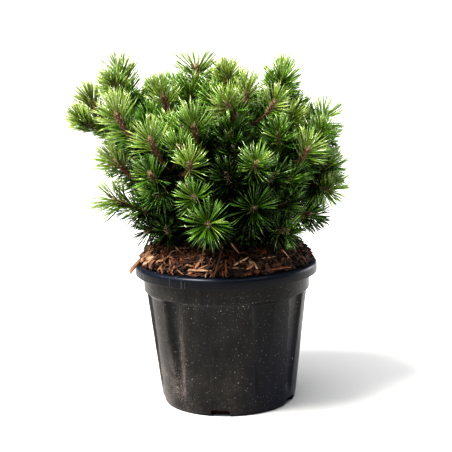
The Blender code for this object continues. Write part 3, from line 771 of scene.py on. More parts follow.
roots = rootAzimuths()
limbs = {name: limbOf(name, roots[name]) for name in crown["masses"]}
centres = {name: onCurve(limb, crown["centre"]) for name, limb in limbs.items()}
levels = [trunk["height"] * k / 20 for k in range(21)]
wood = [(trunkPoint(level), trunkRadius(level), "trunk", 0.0) for level in levels]
for name, limb in limbs.items():
    wood += [(onCurve(limb, k / 60), limbRadius(k / 60), name, k / 60) for k in range(61)]
woodTree = kdtree.KDTree(len(wood))
for index, (point, *_) in enumerate(wood):
    woodTree.insert(point, index)
woodTree.balance()


def inSpace(name, point, margin):  # nearer to this mass's centre than to any other's
    own = centres[name]
    for other, centre in centres.items():
        if other != name and (point - (own + centre) / 2).dot((centre - own).normalized()) > -margin:
            return False
    return True


def isFree(name, point, margin):  # clear of the mulch, the trunk and other limbs
    away = min(math.hypot(point.x, point.y), mulch["radius"])
    if point.z < float(moundHeight(away)) + crown["mulchMargin"] + margin:
        return False
    for _, index, gap in woodTree.find_range(point, crown["lookAround"]):
        _, radius, owner, share = wood[index]
        ownStem = owner == name and (share > crown["ownStemFrom"] or name in crown["onTrunk"])
        if not ownStem and gap < radius + margin + crown["limbMargin"]:
            return False
    return True


def holds(name, root, tip, margin):
    if not (inSpace(name, root, margin) and inSpace(name, tip, margin)):
        return False
    return all(isFree(name, root.lerp(tip, k / 8), margin) for k in range(9))


def bentPath(start, bend, tip, steps):
    pull = bend * 2 - (start + tip) / 2
    shares = [k / steps for k in range(steps + 1)]
    return [start * (1 - t) ** 2 + pull * (2 * t * (1 - t)) + tip * t * t for t in shares]


def sideShoots(name):  # the main side shoots, by the rule and the seeds of the solids
    limb = limbs[name]
    count, seed = crown["masses"][name][4:]
    rng = random.Random(seed)
    phase = rng.uniform(0.0, 360.0)
    reach = (limb[3] - crown["heart"]).length
    kept = []
    for number in range(count):
        share = between(crown["sideStart"], (number + rng.uniform(0.1, 0.9)) / count)
        clock = phase + goldenAngle * number + rng.uniform(-crown["sideTurn"], crown["sideTurn"])
        out = aside(slopeOn(limb, share), clock, rng.uniform(*crown["sideFork"]))
        length = rng.uniform(*crown["sideLength"])
        start = onCurve(limb, share)
        bend = start + out * length * 0.5
        tip = start + out * length + Vector((0, 0, crown["sideLift"]))
        inner = holds(name, start.lerp(bend, 0.3), bend, crown["twigMargin"])
        outer = holds(name, bend, tip, crown["twigMargin"])
        if inner and outer and (tip - crown["heart"]).length < reach:
            kept.append((start, bend, tip, share))
    return kept


finer = {
    "tries": 48,
    "seedStep": 500,  # added to a mass's seed for its finer shoots
    "start": (0.40, 0.95),
    "sideStart": (0.25, 0.70),  # where on a side shoot a finer one starts
    "length": (0.024, 0.044),
    "lift": 0.16,  # of the length
    "fork": (28.0, 62.0),
    "turn": 40.0,
    "spacing": 0.028,  # between the tips of two shoots
    "reach": 0.94,
    "aboveMulch": 0.022,
    "steps": 24,  # along each path
    "pull": (0.36, 0.42),  # of the path's span, at its start and its end
    "radii": (0.0021, 0.0017),
    "leaderRadius": 0.0029,
    "bareStretch": (0.010, 0.050),  # back from a leader's tip
    "clearOfStem": 0.032,
    "riseElevations": (24.0, 48.0),
    "leaderRise": (0.15, 1.15),  # how far leaders at these elevations turn up at the tip
    "tipBack": {  # leaders that end short of their limb's end
        "top_back": 0.008, "upper_left": 0.008, "back_left": 0.034, "left_low": 0.006, "right_low": 0.017,
        "left_foot": 0.005,
    },
    "tipLift": {  # leaders that end above or below their limb's end
        "left_shoulder": -0.006, "left_mid": -0.009, "left_front": 0.008, "front_left": -0.007,
        "right_low": -0.007,
    },
    "sideRise": 1.10,
    "lowRise": (0.27, 0.35),  # below this height side shoots rise by this instead
    "leftOut": {  # shoots that would hide a bare stem or fill a gap, by kind and number
        "front_left": ("side 0", "side 1"),
        "front_low": ("side 0", "side 1", "fine 0", "fine 1"),
        "front_right_low": ("side 1", "fine 1", "fine 2"),
        "front_right": ("fine 0", "fine 1"),
        "right_low": ("side 1", "side 2", "fine 1"),
        "far_left": ("fine 0",),
        "high_left": ("fine 1",),
        "left_low": ("side 0", "side 1", "fine 0", "fine 1"),
        "left_front": ("side 0", "side 2", "fine 0", "fine 2"),
        "left_mid": ("side 1", "side 2", "fine 1", "fine 3"),
        "left_shoulder": ("side 1", "fine 0"),
        "crown_top": ("side 1",),
        "back_left": ("side 1", "fine 1"),
    },
    "extra": {  # mass, share of its limb, azimuth, elevation and reach of the tip, rise
        "lime_fan": ("left_front", 0.55, -16, 34, 148, 0.9),
        "small_bud": ("left_front", 0.62, -24, 41, 151, 0.7),
        "side_bud": ("left_front", 0.55, -39, 28, 146, 0.8),
        "low_back_right": ("back_right", 0.50, 164, -5, 94, 0.25),
        "low_back_left": ("back_left_low", 0.45, -172, -5, 92, 0.25),
        "low_inside": ("right_foot", 0.55, 24, -3, 76, 0.3),
    },
}

shoots = []  # one dictionary each
tips = []
bareStems = []  # points along the last stretch of each leader


def addShoot(name, path, radii, kind):
    number = sum(1 for shoot in shoots if shoot["mass"] == name and shoot["kind"] == kind)
    shoots.append({"mass": name, "path": path, "radii": radii, "kind": kind, "label": f"{kind} {number}"})
    tips.append(path[-1])


def isSpaced(tip, spacing):
    return all((tip - other).length > spacing for other in tips)


def hidesStem(tip):  # whether a shoot ending here would stand over the outer side of a leader's bare stem
    for stem in bareStems:
        nearest = min(stem, key=lambda point: (tip - point).length)
        over = tip - nearest
        outward = (nearest - crown["heart"]).normalized()
        if over.length < finer["clearOfStem"] and over.normalized().dot(outward) > 0.25:
            return True
    return False


def carrierOf(limb, sides, number, rng):  # where a finer shoot starts, and the stem's direction there
    turn = number % (3 + len(sides))
    if turn < 3:
        share = rng.uniform(*finer["start"])
        return onCurve(limb, share), slopeOn(limb, share)
    start, bend, tip, _ = sides[turn - 3]
    path = bentPath(start, bend, tip, 10)
    spot = int(rng.uniform(*finer["sideStart"]) * 10)
    return path[spot], (path[spot + 1] - path[spot]).normalized()


def turnedUp(start, along, tip, out, rise):  # a path that leaves along a stem and ends turned upwards
    span = (tip - start).length
    arrive = (out + Vector((0, 0, rise))).normalized()
    leavePull, arrivePull = finer["pull"]
    curve = (start, start + along * span * leavePull, tip - arrive * span * arrivePull, tip)
    return [onCurve(curve, k / finer["steps"]) for k in range(finer["steps"] + 1)]


def taper(ends):
    return [between(ends, k / finer["steps"]) for k in range(finer["steps"] + 1)]


def planLeaders():
    end = crown["boughEnd"]
    shallow, steep = finer["riseElevations"]
    near, far = finer["bareStretch"]
    for name, limb in limbs.items():
        azimuth, elevation = crown["masses"][name][:2]
        rise = between(finer["leaderRise"], min(1.0, max(0.0, (elevation - shallow) / (steep - shallow))))
        tip = limb[3] - slopeOn(limb, 0.97) * finer["tipBack"].get(name, 0.0)
        tip += zAxis * finer["tipLift"].get(name, 0.0)
        path = turnedUp(onCurve(limb, end), slopeOn(limb, end), tip, heading(azimuth, elevation), rise)
        radii = [max(limbRadius(share), finer["leaderRadius"]) for share in taper((end, 1.0))]
        addShoot(name, path, radii, "leader")
        bareStems.append([point for point in path if near < (point - path[-1]).length < far])


def planSides(sidesOf):
    for name, sides in sidesOf.items():
        for start, bend, tip, _ in sides:
            out = (bend - start).normalized()
            if not hidesStem(tip):
                rise = finer["sideRise"] if tip.z > finer["lowRise"][0] else finer["lowRise"][1]
                addShoot(name, turnedUp(start, out, tip, out, rise), taper(crown["twigRadii"]), "side")


def planFiner(sidesOf):
    for name, limb in limbs.items():
        rng = random.Random(crown["masses"][name][5] + finer["seedStep"])
        reach = (limb[3] - crown["heart"]).length * finer["reach"]
        for number in range(finer["tries"]):
            start, along = carrierOf(limb, sidesOf[name], number, rng)
            clock = number * goldenAngle + rng.uniform(-finer["turn"], finer["turn"])
            out = aside(along, clock, rng.uniform(*finer["fork"]))
            length = rng.uniform(*finer["length"])
            tip = start + out * length + Vector((0, 0, finer["lift"] * length))
            ground = float(moundHeight(min(math.hypot(tip.x, tip.y), mulch["radius"])))
            inside = (tip - crown["heart"]).length < reach and tip.z > ground + finer["aboveMulch"]
            if inside and inSpace(name, tip, 0.0) and isSpaced(tip, finer["spacing"]) and not hidesStem(tip):
                path = turnedUp(start, out, tip, out, finer["sideRise"])
                addShoot(name, path, taper(finer["radii"]), "fine")


def planShoots():
    planLeaders()
    sidesOf = {name: sideShoots(name) for name in limbs}
    planSides(sidesOf)
    planFiner(sidesOf)
    for name, share, azimuth, elevation, reach, rise in finer["extra"].values():
        start, along = onCurve(limbs[name], share), slopeOn(limbs[name], share)
        out = heading(azimuth, elevation)
        path = turnedUp(start, along, crown["heart"] + out * reach / 1000, out, rise)
        addShoot(name, path, taper(crown["twigRadii"]), "extra")
    dropped = finer["leftOut"]
    shoots[:] = [shoot for shoot in shoots if shoot["label"] not in dropped.get(shoot["mass"], ())]
    print(f"crown plan: {len(shoots)} shoots")


planShoots()

bark = {
    "trunkSides": 5,  # bevel resolution of the trunk's tube
    "boughSides": 3,
    "twigSides": 1,
    "relief": (0.0009, 260.0),  # height and scale
    "twigRelief": (0.0004, 700.0),
    "oldColours": ((0.022, 0.011, 0.007), (0.15, 0.078, 0.045)),
    "youngColours": ((0.045, 0.018, 0.010), (0.250, 0.120, 0.064)),
    "scarColours": ((0.240, 0.145, 0.100), (0.520, 0.390, 0.310)),
    "pegs": {
        "seed": 31,
        "zone": 0.062,  # how far back from the tip
        "step": 0.00085,
        "size": ((0.0014, 0.0022), (0.0014, 0.0022), (0.0016, 0.0027)),
        "paleShare": 0.30,
    },
}
massNodes = ["needles_" + name for name in limbs]


def tubes(name, paths, resolution):  # closed tapering tubes along many paths, as one mesh
    curve = bpy.data.curves.new(name, "CURVE")
    curve.dimensions = "3D"
    curve.bevel_depth = 1.0
    curve.bevel_resolution = resolution
    curve.use_fill_caps = True
    for points, radii in paths:
        spline = curve.splines.new("POLY")
        spline.points.add(len(points) - 1)
        for spot, point, radius in zip(spline.points, points, radii):
            spot.co = (*point, 1.0)
            spot.radius = radius
    obj = bpy.data.objects.new(name, curve)
    bpy.context.scene.collection.objects.link(obj)
    return applied(obj)


def roughened(mesh, amount, scale):  # lifts the surface into plates along its normals
    mesh.update()
    count = len(mesh.vertices)
    coords, normals = np.zeros(count * 3), np.zeros(count * 3)
    mesh.vertices.foreach_get("co", coords)
    mesh.vertices.foreach_get("normal", normals)
    coords, normals = coords.reshape(-1, 3), normals.reshape(-1, 3)
    lift = []
    for x, y, z in coords:
        plate = noise.cell(Vector((x, y, z * 0.6)) * scale * 1.9)  # plates are longer than wide
        lift.append(noise.noise(Vector((x, y, z)) * scale) + 0.6 * plate - 0.3)
    coords += normals * (np.array(lift) * amount)[:, None]
    mesh.vertices.foreach_set("co", coords.ravel())
    mesh.update()


def makeBarkMaterial(name, dark, pale, scale):
    material, tree, shader = newMaterial(name, pale, 0.85)
    coord = addNode(tree, "TexCoord", {}).outputs["Object"]
    cells = addNode(tree, "TexVoronoi", {"Vector": coord, "Scale": scale, "Randomness": 1.0})
    plates = cells.outputs["Distance"]
    rough = noiseOf(tree, coord, scale * 1.6, 5.0, 0.65)
    share = ranged(tree, maths(tree, "SUBTRACT", rough, maths(tree, "MULTIPLY", plates, 0.35)), 0.12, 0.50)
    tree.links.new(blended(tree, share, dark, pale), shader.inputs["Base Color"])
    bumped(tree, shader, maths(tree, "ADD", rough, plates), 0.0012, 0.9)
    return material


def boughPath(limb, steps):  # the stretch of a limb that is a bough
    shares = [crown["boughEnd"] * k / steps for k in range(steps + 1)]
    return [onCurve(limb, share) for share in shares], [limbRadius(share) for share in shares]


def makeWood():
    boughNodes = [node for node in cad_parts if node.startswith("bough_")] + ["trunk"]
    heights = [trunk["height"] * k / 60 for k in range(61)]
    trunkPath = [trunkPoint(height) for height in heights], [trunkRadius(height) for height in heights]
    boughPaths = [boughPath(limb, 30) for name, limb in limbs.items() if name not in crown["onTrunk"]]
    bm = bmesh.new()
    bm.from_mesh(tubes("trunkTube", [trunkPath], bark["trunkSides"]))
    bm.from_mesh(tubes("boughTubes", boughPaths, bark["boughSides"]))
    mesh = meshFrom(bm, "barkWood")
    roughened(mesh, *bark["relief"])
    material = makeBarkMaterial("scalyBark", *bark["oldColours"], 380.0)
    dressed(mesh, "bark_trunk_and_boughs", material, boughNodes, 50)


def makeTwigs():
    paths = []
    for shoot in shoots:
        paths.append((shoot["path"], [radius * 0.94 for radius in shoot["radii"]]))
        if shoot["mass"] in crown["onTrunk"] and shoot["kind"] == "leader":
            paths.append(boughPath(limbs[shoot["mass"]], 12))
    mesh = tubes("twigs", paths, bark["twigSides"])
    roughened(mesh, *bark["twigRelief"])
    material = makeBarkMaterial("youngBark", *bark["youngColours"], 700.0)
    dressed(mesh, "twigs", material, massNodes, 50)


class Stem:  # a shoot's path as numbers, measured back from its tip
    def __init__(self, shoot):
        self.path = np.array([tuple(p) for p in shoot["path"]])
        self.radii = np.array(shoot["radii"])
        steps = np.linalg.norm(np.diff(self.path, axis=0), axis=1)
        self.runs = np.concatenate(([0.0], np.cumsum(steps)))
        self.length = self.runs[-1]

    def at(self, run):
        return np.stack([np.interp(run, self.runs, self.path[:, k]) for k in range(3)], 1)

    def slope(self, run):
        along = self.at(run + 0.002) - self.at(run - 0.002)
        return along / np.linalg.norm(along, axis=1)[:, None]

    def radius(self, run):
        return np.interp(run, self.runs, self.radii)


def makePegs():  # the pegs that fallen needles leave along the bare stems
    facts = bark["pegs"]
    rng = np.random.default_rng(facts["seed"])
    bm = bmesh.new()
    bmesh.ops.create_cone(bm, cap_ends=True, segments=4, radius1=0.5, radius2=0.22, depth=1.0)
    bmesh.ops.translate(bm, vec=(0, 0, 0.5), verts=bm.verts)
    shape, tris = templateOf(bm)
    batches = {"stem_pegs": [], "stem_scars": []}
    for shoot in shoots:
        stem = Stem(shoot)
        run = np.arange(stem.length - facts["zone"], stem.length - 0.002, facts["step"])
        run = run[run > 0.001]
        along = stem.slope(run)
        out = turns(along, np.arange(len(run)) * math.radians(goldenAngle))[:, :, 0]
        spots = stem.at(run) + out * (stem.radius(run) * 0.80)[:, None]
        ways = out * 0.75 + along
        sizes = np.stack([rng.uniform(low, high, len(run)) for low, high in facts["size"]], 1)
        world = placed(shape, turns(ways, rng.uniform(0, math.tau, len(run))), sizes, spots)
        pale = rng.uniform(0, 1, len(run)) < facts["paleShare"]
        batches["stem_pegs"].append((world[~pale], tris))
        batches["stem_scars"].append((world[pale], tris))
    for piece, colours in (("stem_pegs", bark["youngColours"]), ("stem_scars", bark["scarColours"])):
        material = makeBarkMaterial(piece, *colours, 900.0)
        dressed(joinedMesh(piece, batches[piece]), piece, material, massNodes, 0)


makeWood()
makeTwigs()
makePegs()


needles = {
    "seed": 11,
    "width": 0.00170,
    "widthSpread": (0.85, 1.12),
    "lengthSpread": (0.92, 1.05),
    "sections": ((0.0, 0.74), (0.76, 1.0)),  # share of the length, share of the width
    "flatness": 0.60,
    "splay": (3.0, 9.0),  # degrees that each of a pair leans from the other
    "curl": 0.10,
    "zones": {  # start and end back from the tip, pairs a metre, lean at start and end, length
        "rosette": ((0.0, 0.0150), 4500, (24.0, 80.0), (0.0325, 0.0345)),
        "lastYear": ((0.0150, 0.045), 2550, (54.0, 84.0), (0.0320, 0.0290)),
        "inner": ((0.045, 0.200), 2100, (60.0, 88.0), (0.0280, 0.0260)),
    },
    "kinds": {  # share of the count, share of the length
        "leader": (1.0, 1.0), "extra": (0.85, 0.82), "side": (0.85, 0.88), "fine": (0.72, 0.82),
    },
    "byHeight": {  # leaders between these elevations go from flat open stars to upright tufts
        "elevations": (24.0, 52.0),
        "length": (0.90, 1.04),
        "count": (0.68, 1.00),
        "lean": ((38.0, 88.0), (16.0, 74.0)),
    },
    "fullness": {  # share of the needles on whole masses
        "right_low": 0.38, "right_foot": 1.10, "left_low": 0.72, "right_shoulder": 1.20, "top_right": 1.15,
        "front_right_low": 1.2, "front_low": 1.1, "left_foot": 0.85, "far_left": 1.35, "crown_top": 1.15,
        "right_edge": 1.10, "top_back": 0.85,
    },
    "longer": {  # share of the needles' length on whole masses
        "crown_top": 1.10, "left_foot": 0.88, "left_low": 1.30, "front_right_low": 1.30, "right_low": 1.1,
        "high_left": 1.02, "left_mid": 1.16, "right_shoulder": 1.12, "right_edge": 1.14, "front_low": 1.18,
        "front_right": 0.93,
    },
    "swept": {"left_low": 0.72, "right_low": 0.72, "far_left": 0.70, "left_mid": 0.76},  # share of their lean
    "lowest": {"far_left": -0.20, "left_mid": -0.36},  # no needle here points down more steeply
    "insideBox": 0.96,  # share of the way to the outer box that a needle may take
    "shortest": 0.6,  # needles that the box would cut shorter than this share are left out
    "aboveMulch": 0.002,
    "bareCore": 0.045,  # no needles this near to the crown's heart
    "bareSide": {  # how far round to the outside needles have dropped, strays left, least lean
        "rosette": (0.15, 0.10, 24.0),
        "lastYear": (-0.15, 0.04, 0.0),
    },
    "lessBare": 0.60,  # on the finer shoots the bare side is narrower
    "moreBare": {"upper_right": 0.45, "upper_left": 0.45},
    "neverBare": (
        "front_right", "front_right_low", "front_left", "front_low", "right_foot", "left_foot", "left_low",
        "right_low",
    ),
    "bareFrom": 0.02,  # stems in front of this have their bare side turned to the front
    "bareTurn": (np.array((0.12, 0.8, 0.6)), np.array((0.0, -0.55, 0.0))),  # its scale and its shift
    "upright": 0.40,  # only shoots that rise steeper than this have an open tip
}

tints = {  # base colour and gloss, from the sunniest to the most shaded
    "needles_lime": ((0.325, 0.430, 0.075), 0.9),
    "needles_fresh": ((0.205, 0.355, 0.028), 0.85),
    "needles_bright": ((0.118, 0.264, 0.012), 0.7),
    "needles_green": ((0.065, 0.166, 0.008), 0.5),
    "needles_pine": ((0.032, 0.074, 0.006), 0.32),
    "needles_deep": ((0.012, 0.030, 0.003), 0.14),
    "needles_night": ((0.003, 0.008, 0.0015), 0.10),
}

shade = {  # which tint a spray gets: the steps from the sunniest one
    "sun": (-0.45, -0.42, 0.79),
    "middle": 2.3,
    "bySun": 2.45,
    "byDepth": 34.0,  # for each metre inside its mass
    "byNeedle": (0.7, 0.30),  # for needles that point at the sun: how much, and from which lean
    "spread": {"spray": 0.35, "pair": 0.85, "needle": 0.25},
    "zones": {"rosette": 0.0, "lastYear": 2.3, "inner": 5.1},
    "zoneShare": ((0.22, 0.29, 0.38), (0.55, 1.08, 0.55)),  # heights of the tip, share of the zones' steps
    "kinds": {"leader": 0.0, "extra": 0.0, "side": 0.6, "fine": 1.4},
    "masses": {
        "high_left": -0.3, "far_left": -0.5, "left_shoulder": 0.7, "left_front": 0.9, "upper_front": 0.9,
        "front_left": 1.9, "front_low": 1.1, "front_right": 0.7, "front_right_low": 2.1, "left_foot": 2.0,
        "right_foot": 0.4, "right_low": -1.2, "back_right_low": -0.8, "left_low": -0.2, "left_mid": -0.6,
        "back_left": -0.9, "upper_right": -0.5, "top_right": -0.6, "right_shoulder": -0.9,
        "right_front": -1.1, "top_back": -0.9, "crown_top": -0.2, "right_edge": -1.4, "back_right_high": -0.9,
    },
    "shoots": {  # single shoots, by kind and number
        "right_edge": {"fine 1": -2.0},
        "right_shoulder": {"side 0": -1.6},
        "back_right_high": {"side 2": -0.6},
        "left_front": {"extra 0": -0.6, "extra 1": 1.0, "extra 2": 0.4, "fine 1": -1.2},
        "left_mid": {"fine 0": -1.4, "fine 2": -1.0},
        "front_right": {"side 0": 1.4, "side 1": 1.0, "side 2": 2.8},
        "front_right_low": {"side 0": 1.6},
        "upper_front": {"side 1": 1.2},
        "top_right": {"fine 1": -1.0},
        "right_front": {"side 1": 1.5, "fine 0": 1.0, "fine 1": 1.0},
        "upper_right": {"side 0": 1.2, "side 2": 0.8},
    },
    "straw": ((0.27, 0.17, 0.065), 0.4),
    "strawShare": {"rosette": 0.0, "lastYear": 0.006, "inner": 0.03},
}


def needleShape():  # three-sided, one unit long and wide, with a short point
    bm = bmesh.new()
    bmesh.ops.create_cone(bm, cap_ends=True, segments=3, radius1=0.5, radius2=0.0, depth=1.0)
    bmesh.ops.remove_doubles(bm, verts=bm.verts, dist=1e-5)
    bmesh.ops.translate(bm, vec=(0, 0, 0.5), verts=bm.verts)
    upright = [e for e in bm.edges if abs(e.verts[0].co.z - e.verts[1].co.z) > 0.5]
    bmesh.ops.subdivide_edges(bm, edges=upright, cuts=len(needles["sections"]) - 1)
    levels = sorted({round(v.co.z, 4) for v in bm.verts})
    for vert in bm.verts:
        rank = levels.index(round(vert.co.z, 4))
        if rank < len(needles["sections"]):
            share, width = needles["sections"][rank]
            radius = math.hypot(vert.co.x, vert.co.y)
            vert.co.x *= 0.5 * width / radius
            vert.co.y *= 0.5 * width * needles["flatness"] / radius
            vert.co.z = share
    return templateOf(bm)


def makeNeedleMaterial(name, colour, gloss):
    sheen = {"Specular_IOR_Level": gloss, "IOR": 1.42 + 0.38 * gloss}
    material, tree, shader = newMaterial(name, colour, 0.27, **sheen)
    coord = addNode(tree, "TexCoord", {}).outputs["Object"]
    broad = noiseOf(tree, coord, 55.0, 3.0)
    fine = noiseOf(tree, coord, 460.0, 2.0, 0.6)
    dark, pale = (tuple(min(1.0, c * share) for c in colour) for share in (0.66, 1.32))
    waxAndGlint = tuple(min(1.0, c * 0.6 + 1.25 * colour[1]) for c in colour)  # the pale wax on a needle, also a painted glint: it is paler on the sunnier tints
    tint = blended(tree, ranged(tree, broad, 0.32, 0.68), dark, pale)
    tint = blended(tree, ranged(tree, fine, 0.59, 0.71, 0.0, 0.9), tint, waxAndGlint)
    tree.links.new(tint, shader.inputs["Base Color"])
    tree.links.new(ranged(tree, fine, 0.3, 0.7, 0.10, 0.28), shader.inputs["Roughness"])
    return material


def framesFrom(ways, sides):  # 3x3 matrices with z along each way and y towards its side
    across = np.cross(sides, ways)
    across /= np.linalg.norm(across, axis=1)[:, None]
    return np.stack((across, np.cross(ways, across), ways), axis=2)


def isBare(root, along, out, angle, zone, shoot, heart):  # the stem's outer side shows between its needles
    outward = root - heart
    outward /= np.linalg.norm(outward, axis=1)[:, None]
    scale, shift = needles["bareTurn"]
    outward = np.where((root[:, 1] < needles["bareFrom"])[:, None], outward * scale + shift, outward)
    outward -= along * (outward * along).sum(1)[:, None]
    limit, _, steep = needles["bareSide"][zone]
    limit -= needles["moreBare"].get(shoot["mass"], 0.0)
    if shoot["kind"] not in ("leader", "extra"):
        limit += needles["lessBare"]
    bare = ((out * outward).sum(1) > limit) & (angle > math.radians(steep))
    if zone == "rosette":
        bare &= along[:, 2] > needles["upright"]
    return bare


def pairsOn(stem, zone, shoot, heart, rng):  # roots, directions and lengths of the needle pairs in one zone
    (start, zoneEnd), perMetre, lean, size = needles["zones"][zone]
    countShare, sizeShare = needles["kinds"][shoot["kind"]]
    countShare *= needles["fullness"].get(shoot["mass"], 1.0)
    sizeShare *= shoot["longer"] * needles["longer"].get(shoot["mass"], 1.0)
    if shoot["kind"] == "leader":
        facts = needles["byHeight"]
        low, high = facts["elevations"]
        height = min(1.0, max(0.0, (crown["masses"][shoot["mass"]][1] - low) / (high - low)))
        countShare *= between(facts["count"], height)
        sizeShare *= between(facts["length"], height)
        if zone == "rosette":
            lean = [between(ends, height) for ends in zip(*facts["lean"])]
    end = min(zoneEnd, stem.length - 0.001)
    if end <= start:
        return None
    count = max(1, int(perMetre * (end - start) * countShare))
    back = start + (end - start) * (np.arange(count) + rng.uniform(0, 1, count)) / count
    share = (back - start) / (zoneEnd - start)
    run = stem.length - back
    root, along = stem.at(run), stem.slope(run)
    clocks = np.arange(count) * math.radians(goldenAngle) + rng.normal(0, 0.3, count)
    out = turns(along, clocks)[:, :, 0]
    angle = np.radians(lean[0] + (lean[1] - lean[0]) * share ** 0.8 + rng.normal(0, 7.0, count))
    angle *= needles["swept"].get(shoot["mass"], 1.0)
    way = along * np.cos(angle)[:, None] + out * np.sin(angle)[:, None]
    length = (size[0] + (size[1] - size[0]) * share) * sizeShare * rng.uniform(0.88, 1.06, count)
    keep = np.linalg.norm(root - heart, axis=1) > needles["bareCore"]
    keep &= way[:, 2] > needles["lowest"].get(shoot["mass"], -1.0)
    if zone in needles["bareSide"] and shoot["mass"] not in needles["neverBare"]:
        strays = rng.uniform(0, 1, count) < needles["bareSide"][zone][1]
        keep &= strays | ~isBare(root, along, out, angle, zone, shoot, heart)
    return root[keep], along[keep], way[keep], length[keep]


def roomAlong(spots, ways, low, high):  # how far each way goes before it leaves the box
    ends = np.where(ways > 0, high, low)
    return ((ends - spots) / np.where(np.abs(ways) < 1e-6, 1e-6, ways)).min(1)


def sprayStep(shoot, tip, heart, sun, rng):  # how many steps of shade a spray starts with
    reach = np.linalg.norm(tip - heart)
    sunny = (tip - heart) @ sun / reach
    depth = (limbs[shoot["mass"]][3] - crown["heart"]).length - reach
    step = shade["middle"] - shade["bySun"] * sunny + shade["byDepth"] * depth
    step += rng.normal(0, shade["spread"]["spray"])
    step += shade["kinds"][shoot["kind"]]
    mass = shoot["mass"]
    return step + (shade["masses"].get(mass, 0.0) + shade["shoots"].get(mass, {}).get(shoot["label"], 0.0))


def fittedNeedles(shape, found, side, sign, low, high, rng):  # one of each pair, kept inside the box
    root, along, way, length = found
    count = len(root)
    splay = np.radians(rng.uniform(*needles["splay"], count))[:, None]
    ways = way * np.cos(splay) + side * np.sin(splay) * sign
    room = needles["insideBox"] * roomAlong(root, ways, low, high)
    sizes = np.minimum(length * rng.uniform(0.94, 1.04, count), room)
    width = needles["width"] * rng.uniform(*needles["widthSpread"], count)
    world = placed(shape, framesFrom(ways, side * sign), np.stack((width, width, sizes), 1), root)
    curl = (along * needles["curl"] + rng.normal(0, 0.03, (count, 3))) * sizes[:, None]
    world += curl[:, None] * shape[None, :, 2:3] ** 2
    ends = root + ways * sizes[:, None] + curl
    away = np.minimum(np.hypot(ends[:, 0], ends[:, 1]), mulch["radius"] + 0.002)
    keep = (ends[:, 2] > moundHeight(away) + needles["aboveMulch"]) & ((ends > low) & (ends < high)).all(1)
    return world, keep & (sizes > needles["shortest"] * length)


def makeNeedles():
    rng = np.random.default_rng(needles["seed"])
    shape, tris = needleShape()
    heart, sun = np.array(crown["heart"]), np.array(shade["sun"])
    low, high = (np.array(corner) for corner in cadBox)
    batches = {tint: [] for tint in (*tints, "needles_straw")}
    sheaths = []
    total = 0
    for shoot in shoots:
        stem = Stem(shoot)
        step = sprayStep(shoot, stem.path[-1], heart, sun, rng)
        shoot["longer"] = rng.uniform(*needles["lengthSpread"])
        zoneShare = np.interp(stem.path[-1][2], *shade["zoneShare"])
        for zone in needles["zones"]:
            found = pairsOn(stem, zone, shoot, heart, rng)
            if found is None or not len(found[0]):
                continue
            root, _, way, _ = found
            count = len(root)
            side = turns(way, rng.uniform(0, math.tau, count))[:, :, 0]
            toSun, level = shade["byNeedle"]
            rank = step + zoneShare * shade["zones"][zone] + toSun * (level - way @ sun)
            rank += rng.normal(0, shade["spread"]["pair"], count)
            if zone == "rosette":
                sheaths.append((root, way))
            for sign in (-1.0, 1.0):
                world, keep = fittedNeedles(shape, found, side, sign, low, high, rng)
                tone = np.round(rank + rng.normal(0, shade["spread"]["needle"], count))
                tone = np.clip(tone, 0, len(tints) - 1).astype(int)
                straw = rng.uniform(0, 1, count) < shade["strawShare"][zone]
                for number, tint in enumerate(tints):
                    batches[tint].append((world[keep & ~straw & (tone == number)], tris))
                batches["needles_straw"].append((world[keep & straw], tris))
                total += int(keep.sum())
    print(f"{total} needles")
    for tint, parts in batches.items():
        material = makeNeedleMaterial(tint, *tints.get(tint, shade["straw"]))
        dressed(joinedMesh(tint, parts), tint, material, massNodes, 0)
    makeSheaths(*(np.concatenate(parts) for parts in zip(*sheaths)), rng)


sheath = {
    "width": (0.0019, 0.0025),
    "length": (0.0044, 0.0066),
    "colours": ((0.22, 0.15, 0.08), (0.54, 0.47, 0.33)),
}


def makeSheaths(roots, ways, rng):  # the pale papery sleeve round the foot of each pair
    bm = bmesh.new()
    bmesh.ops.create_cone(bm, cap_ends=True, segments=3, radius1=0.5, radius2=0.36, depth=1.0)
    bmesh.ops.translate(bm, vec=(0, 0, 0.5), verts=bm.verts)
    shape, tris = templateOf(bm)
    count = len(roots)
    width, length = rng.uniform(*sheath["width"], count), rng.uniform(*sheath["length"], count)
    sizes = np.stack((width, width, length), 1)
    world = placed(shape, turns(ways, rng.uniform(0, math.tau, count)), sizes, roots)
    material, tree, shader = newMaterial("paperySheath", (0.42, 0.34, 0.24), 0.6)
    coord = addNode(tree, "TexCoord", {}).outputs["Object"]
    share = ranged(tree, noiseOf(tree, coord, 600.0), 0.35, 0.65)
    tree.links.new(blended(tree, share, *sheath["colours"]), shader.inputs["Base Color"])
    mesh = joinedMesh("needle_sheaths", [(world, tris)])
    dressed(mesh, "needle_sheaths", material, massNodes, 0)


makeNeedles()


buds = {
    "seed": 23,
    "length": (0.0062, 0.0088),
    "width": (0.0030, 0.0039),
    "kinds": {  # size, and buds in the cluster
        "leader": (1.0, 5), "extra": (0.9, 4), "side": (0.88, 4), "fine": (0.72, 3),
    },
    "outerSize": (0.55, 0.78),  # of the buds round the middle one
    "lean": (0.45, 0.75),
    "sunk": 0.0020,
    "colours": ((0.100, 0.044, 0.020), (0.52, 0.37, 0.23)),
}


def budShape():  # an egg, one unit long and wide, with its foot at the origin
    bm = bmesh.new()
    bmesh.ops.create_uvsphere(bm, u_segments=7, v_segments=5, radius=0.5)
    for vert in bm.verts:
        up = vert.co.z + 0.5
        vert.co.x *= 1.15 - 0.75 * up
        vert.co.y *= 1.15 - 0.75 * up
        vert.co.z = up
    return templateOf(bm)


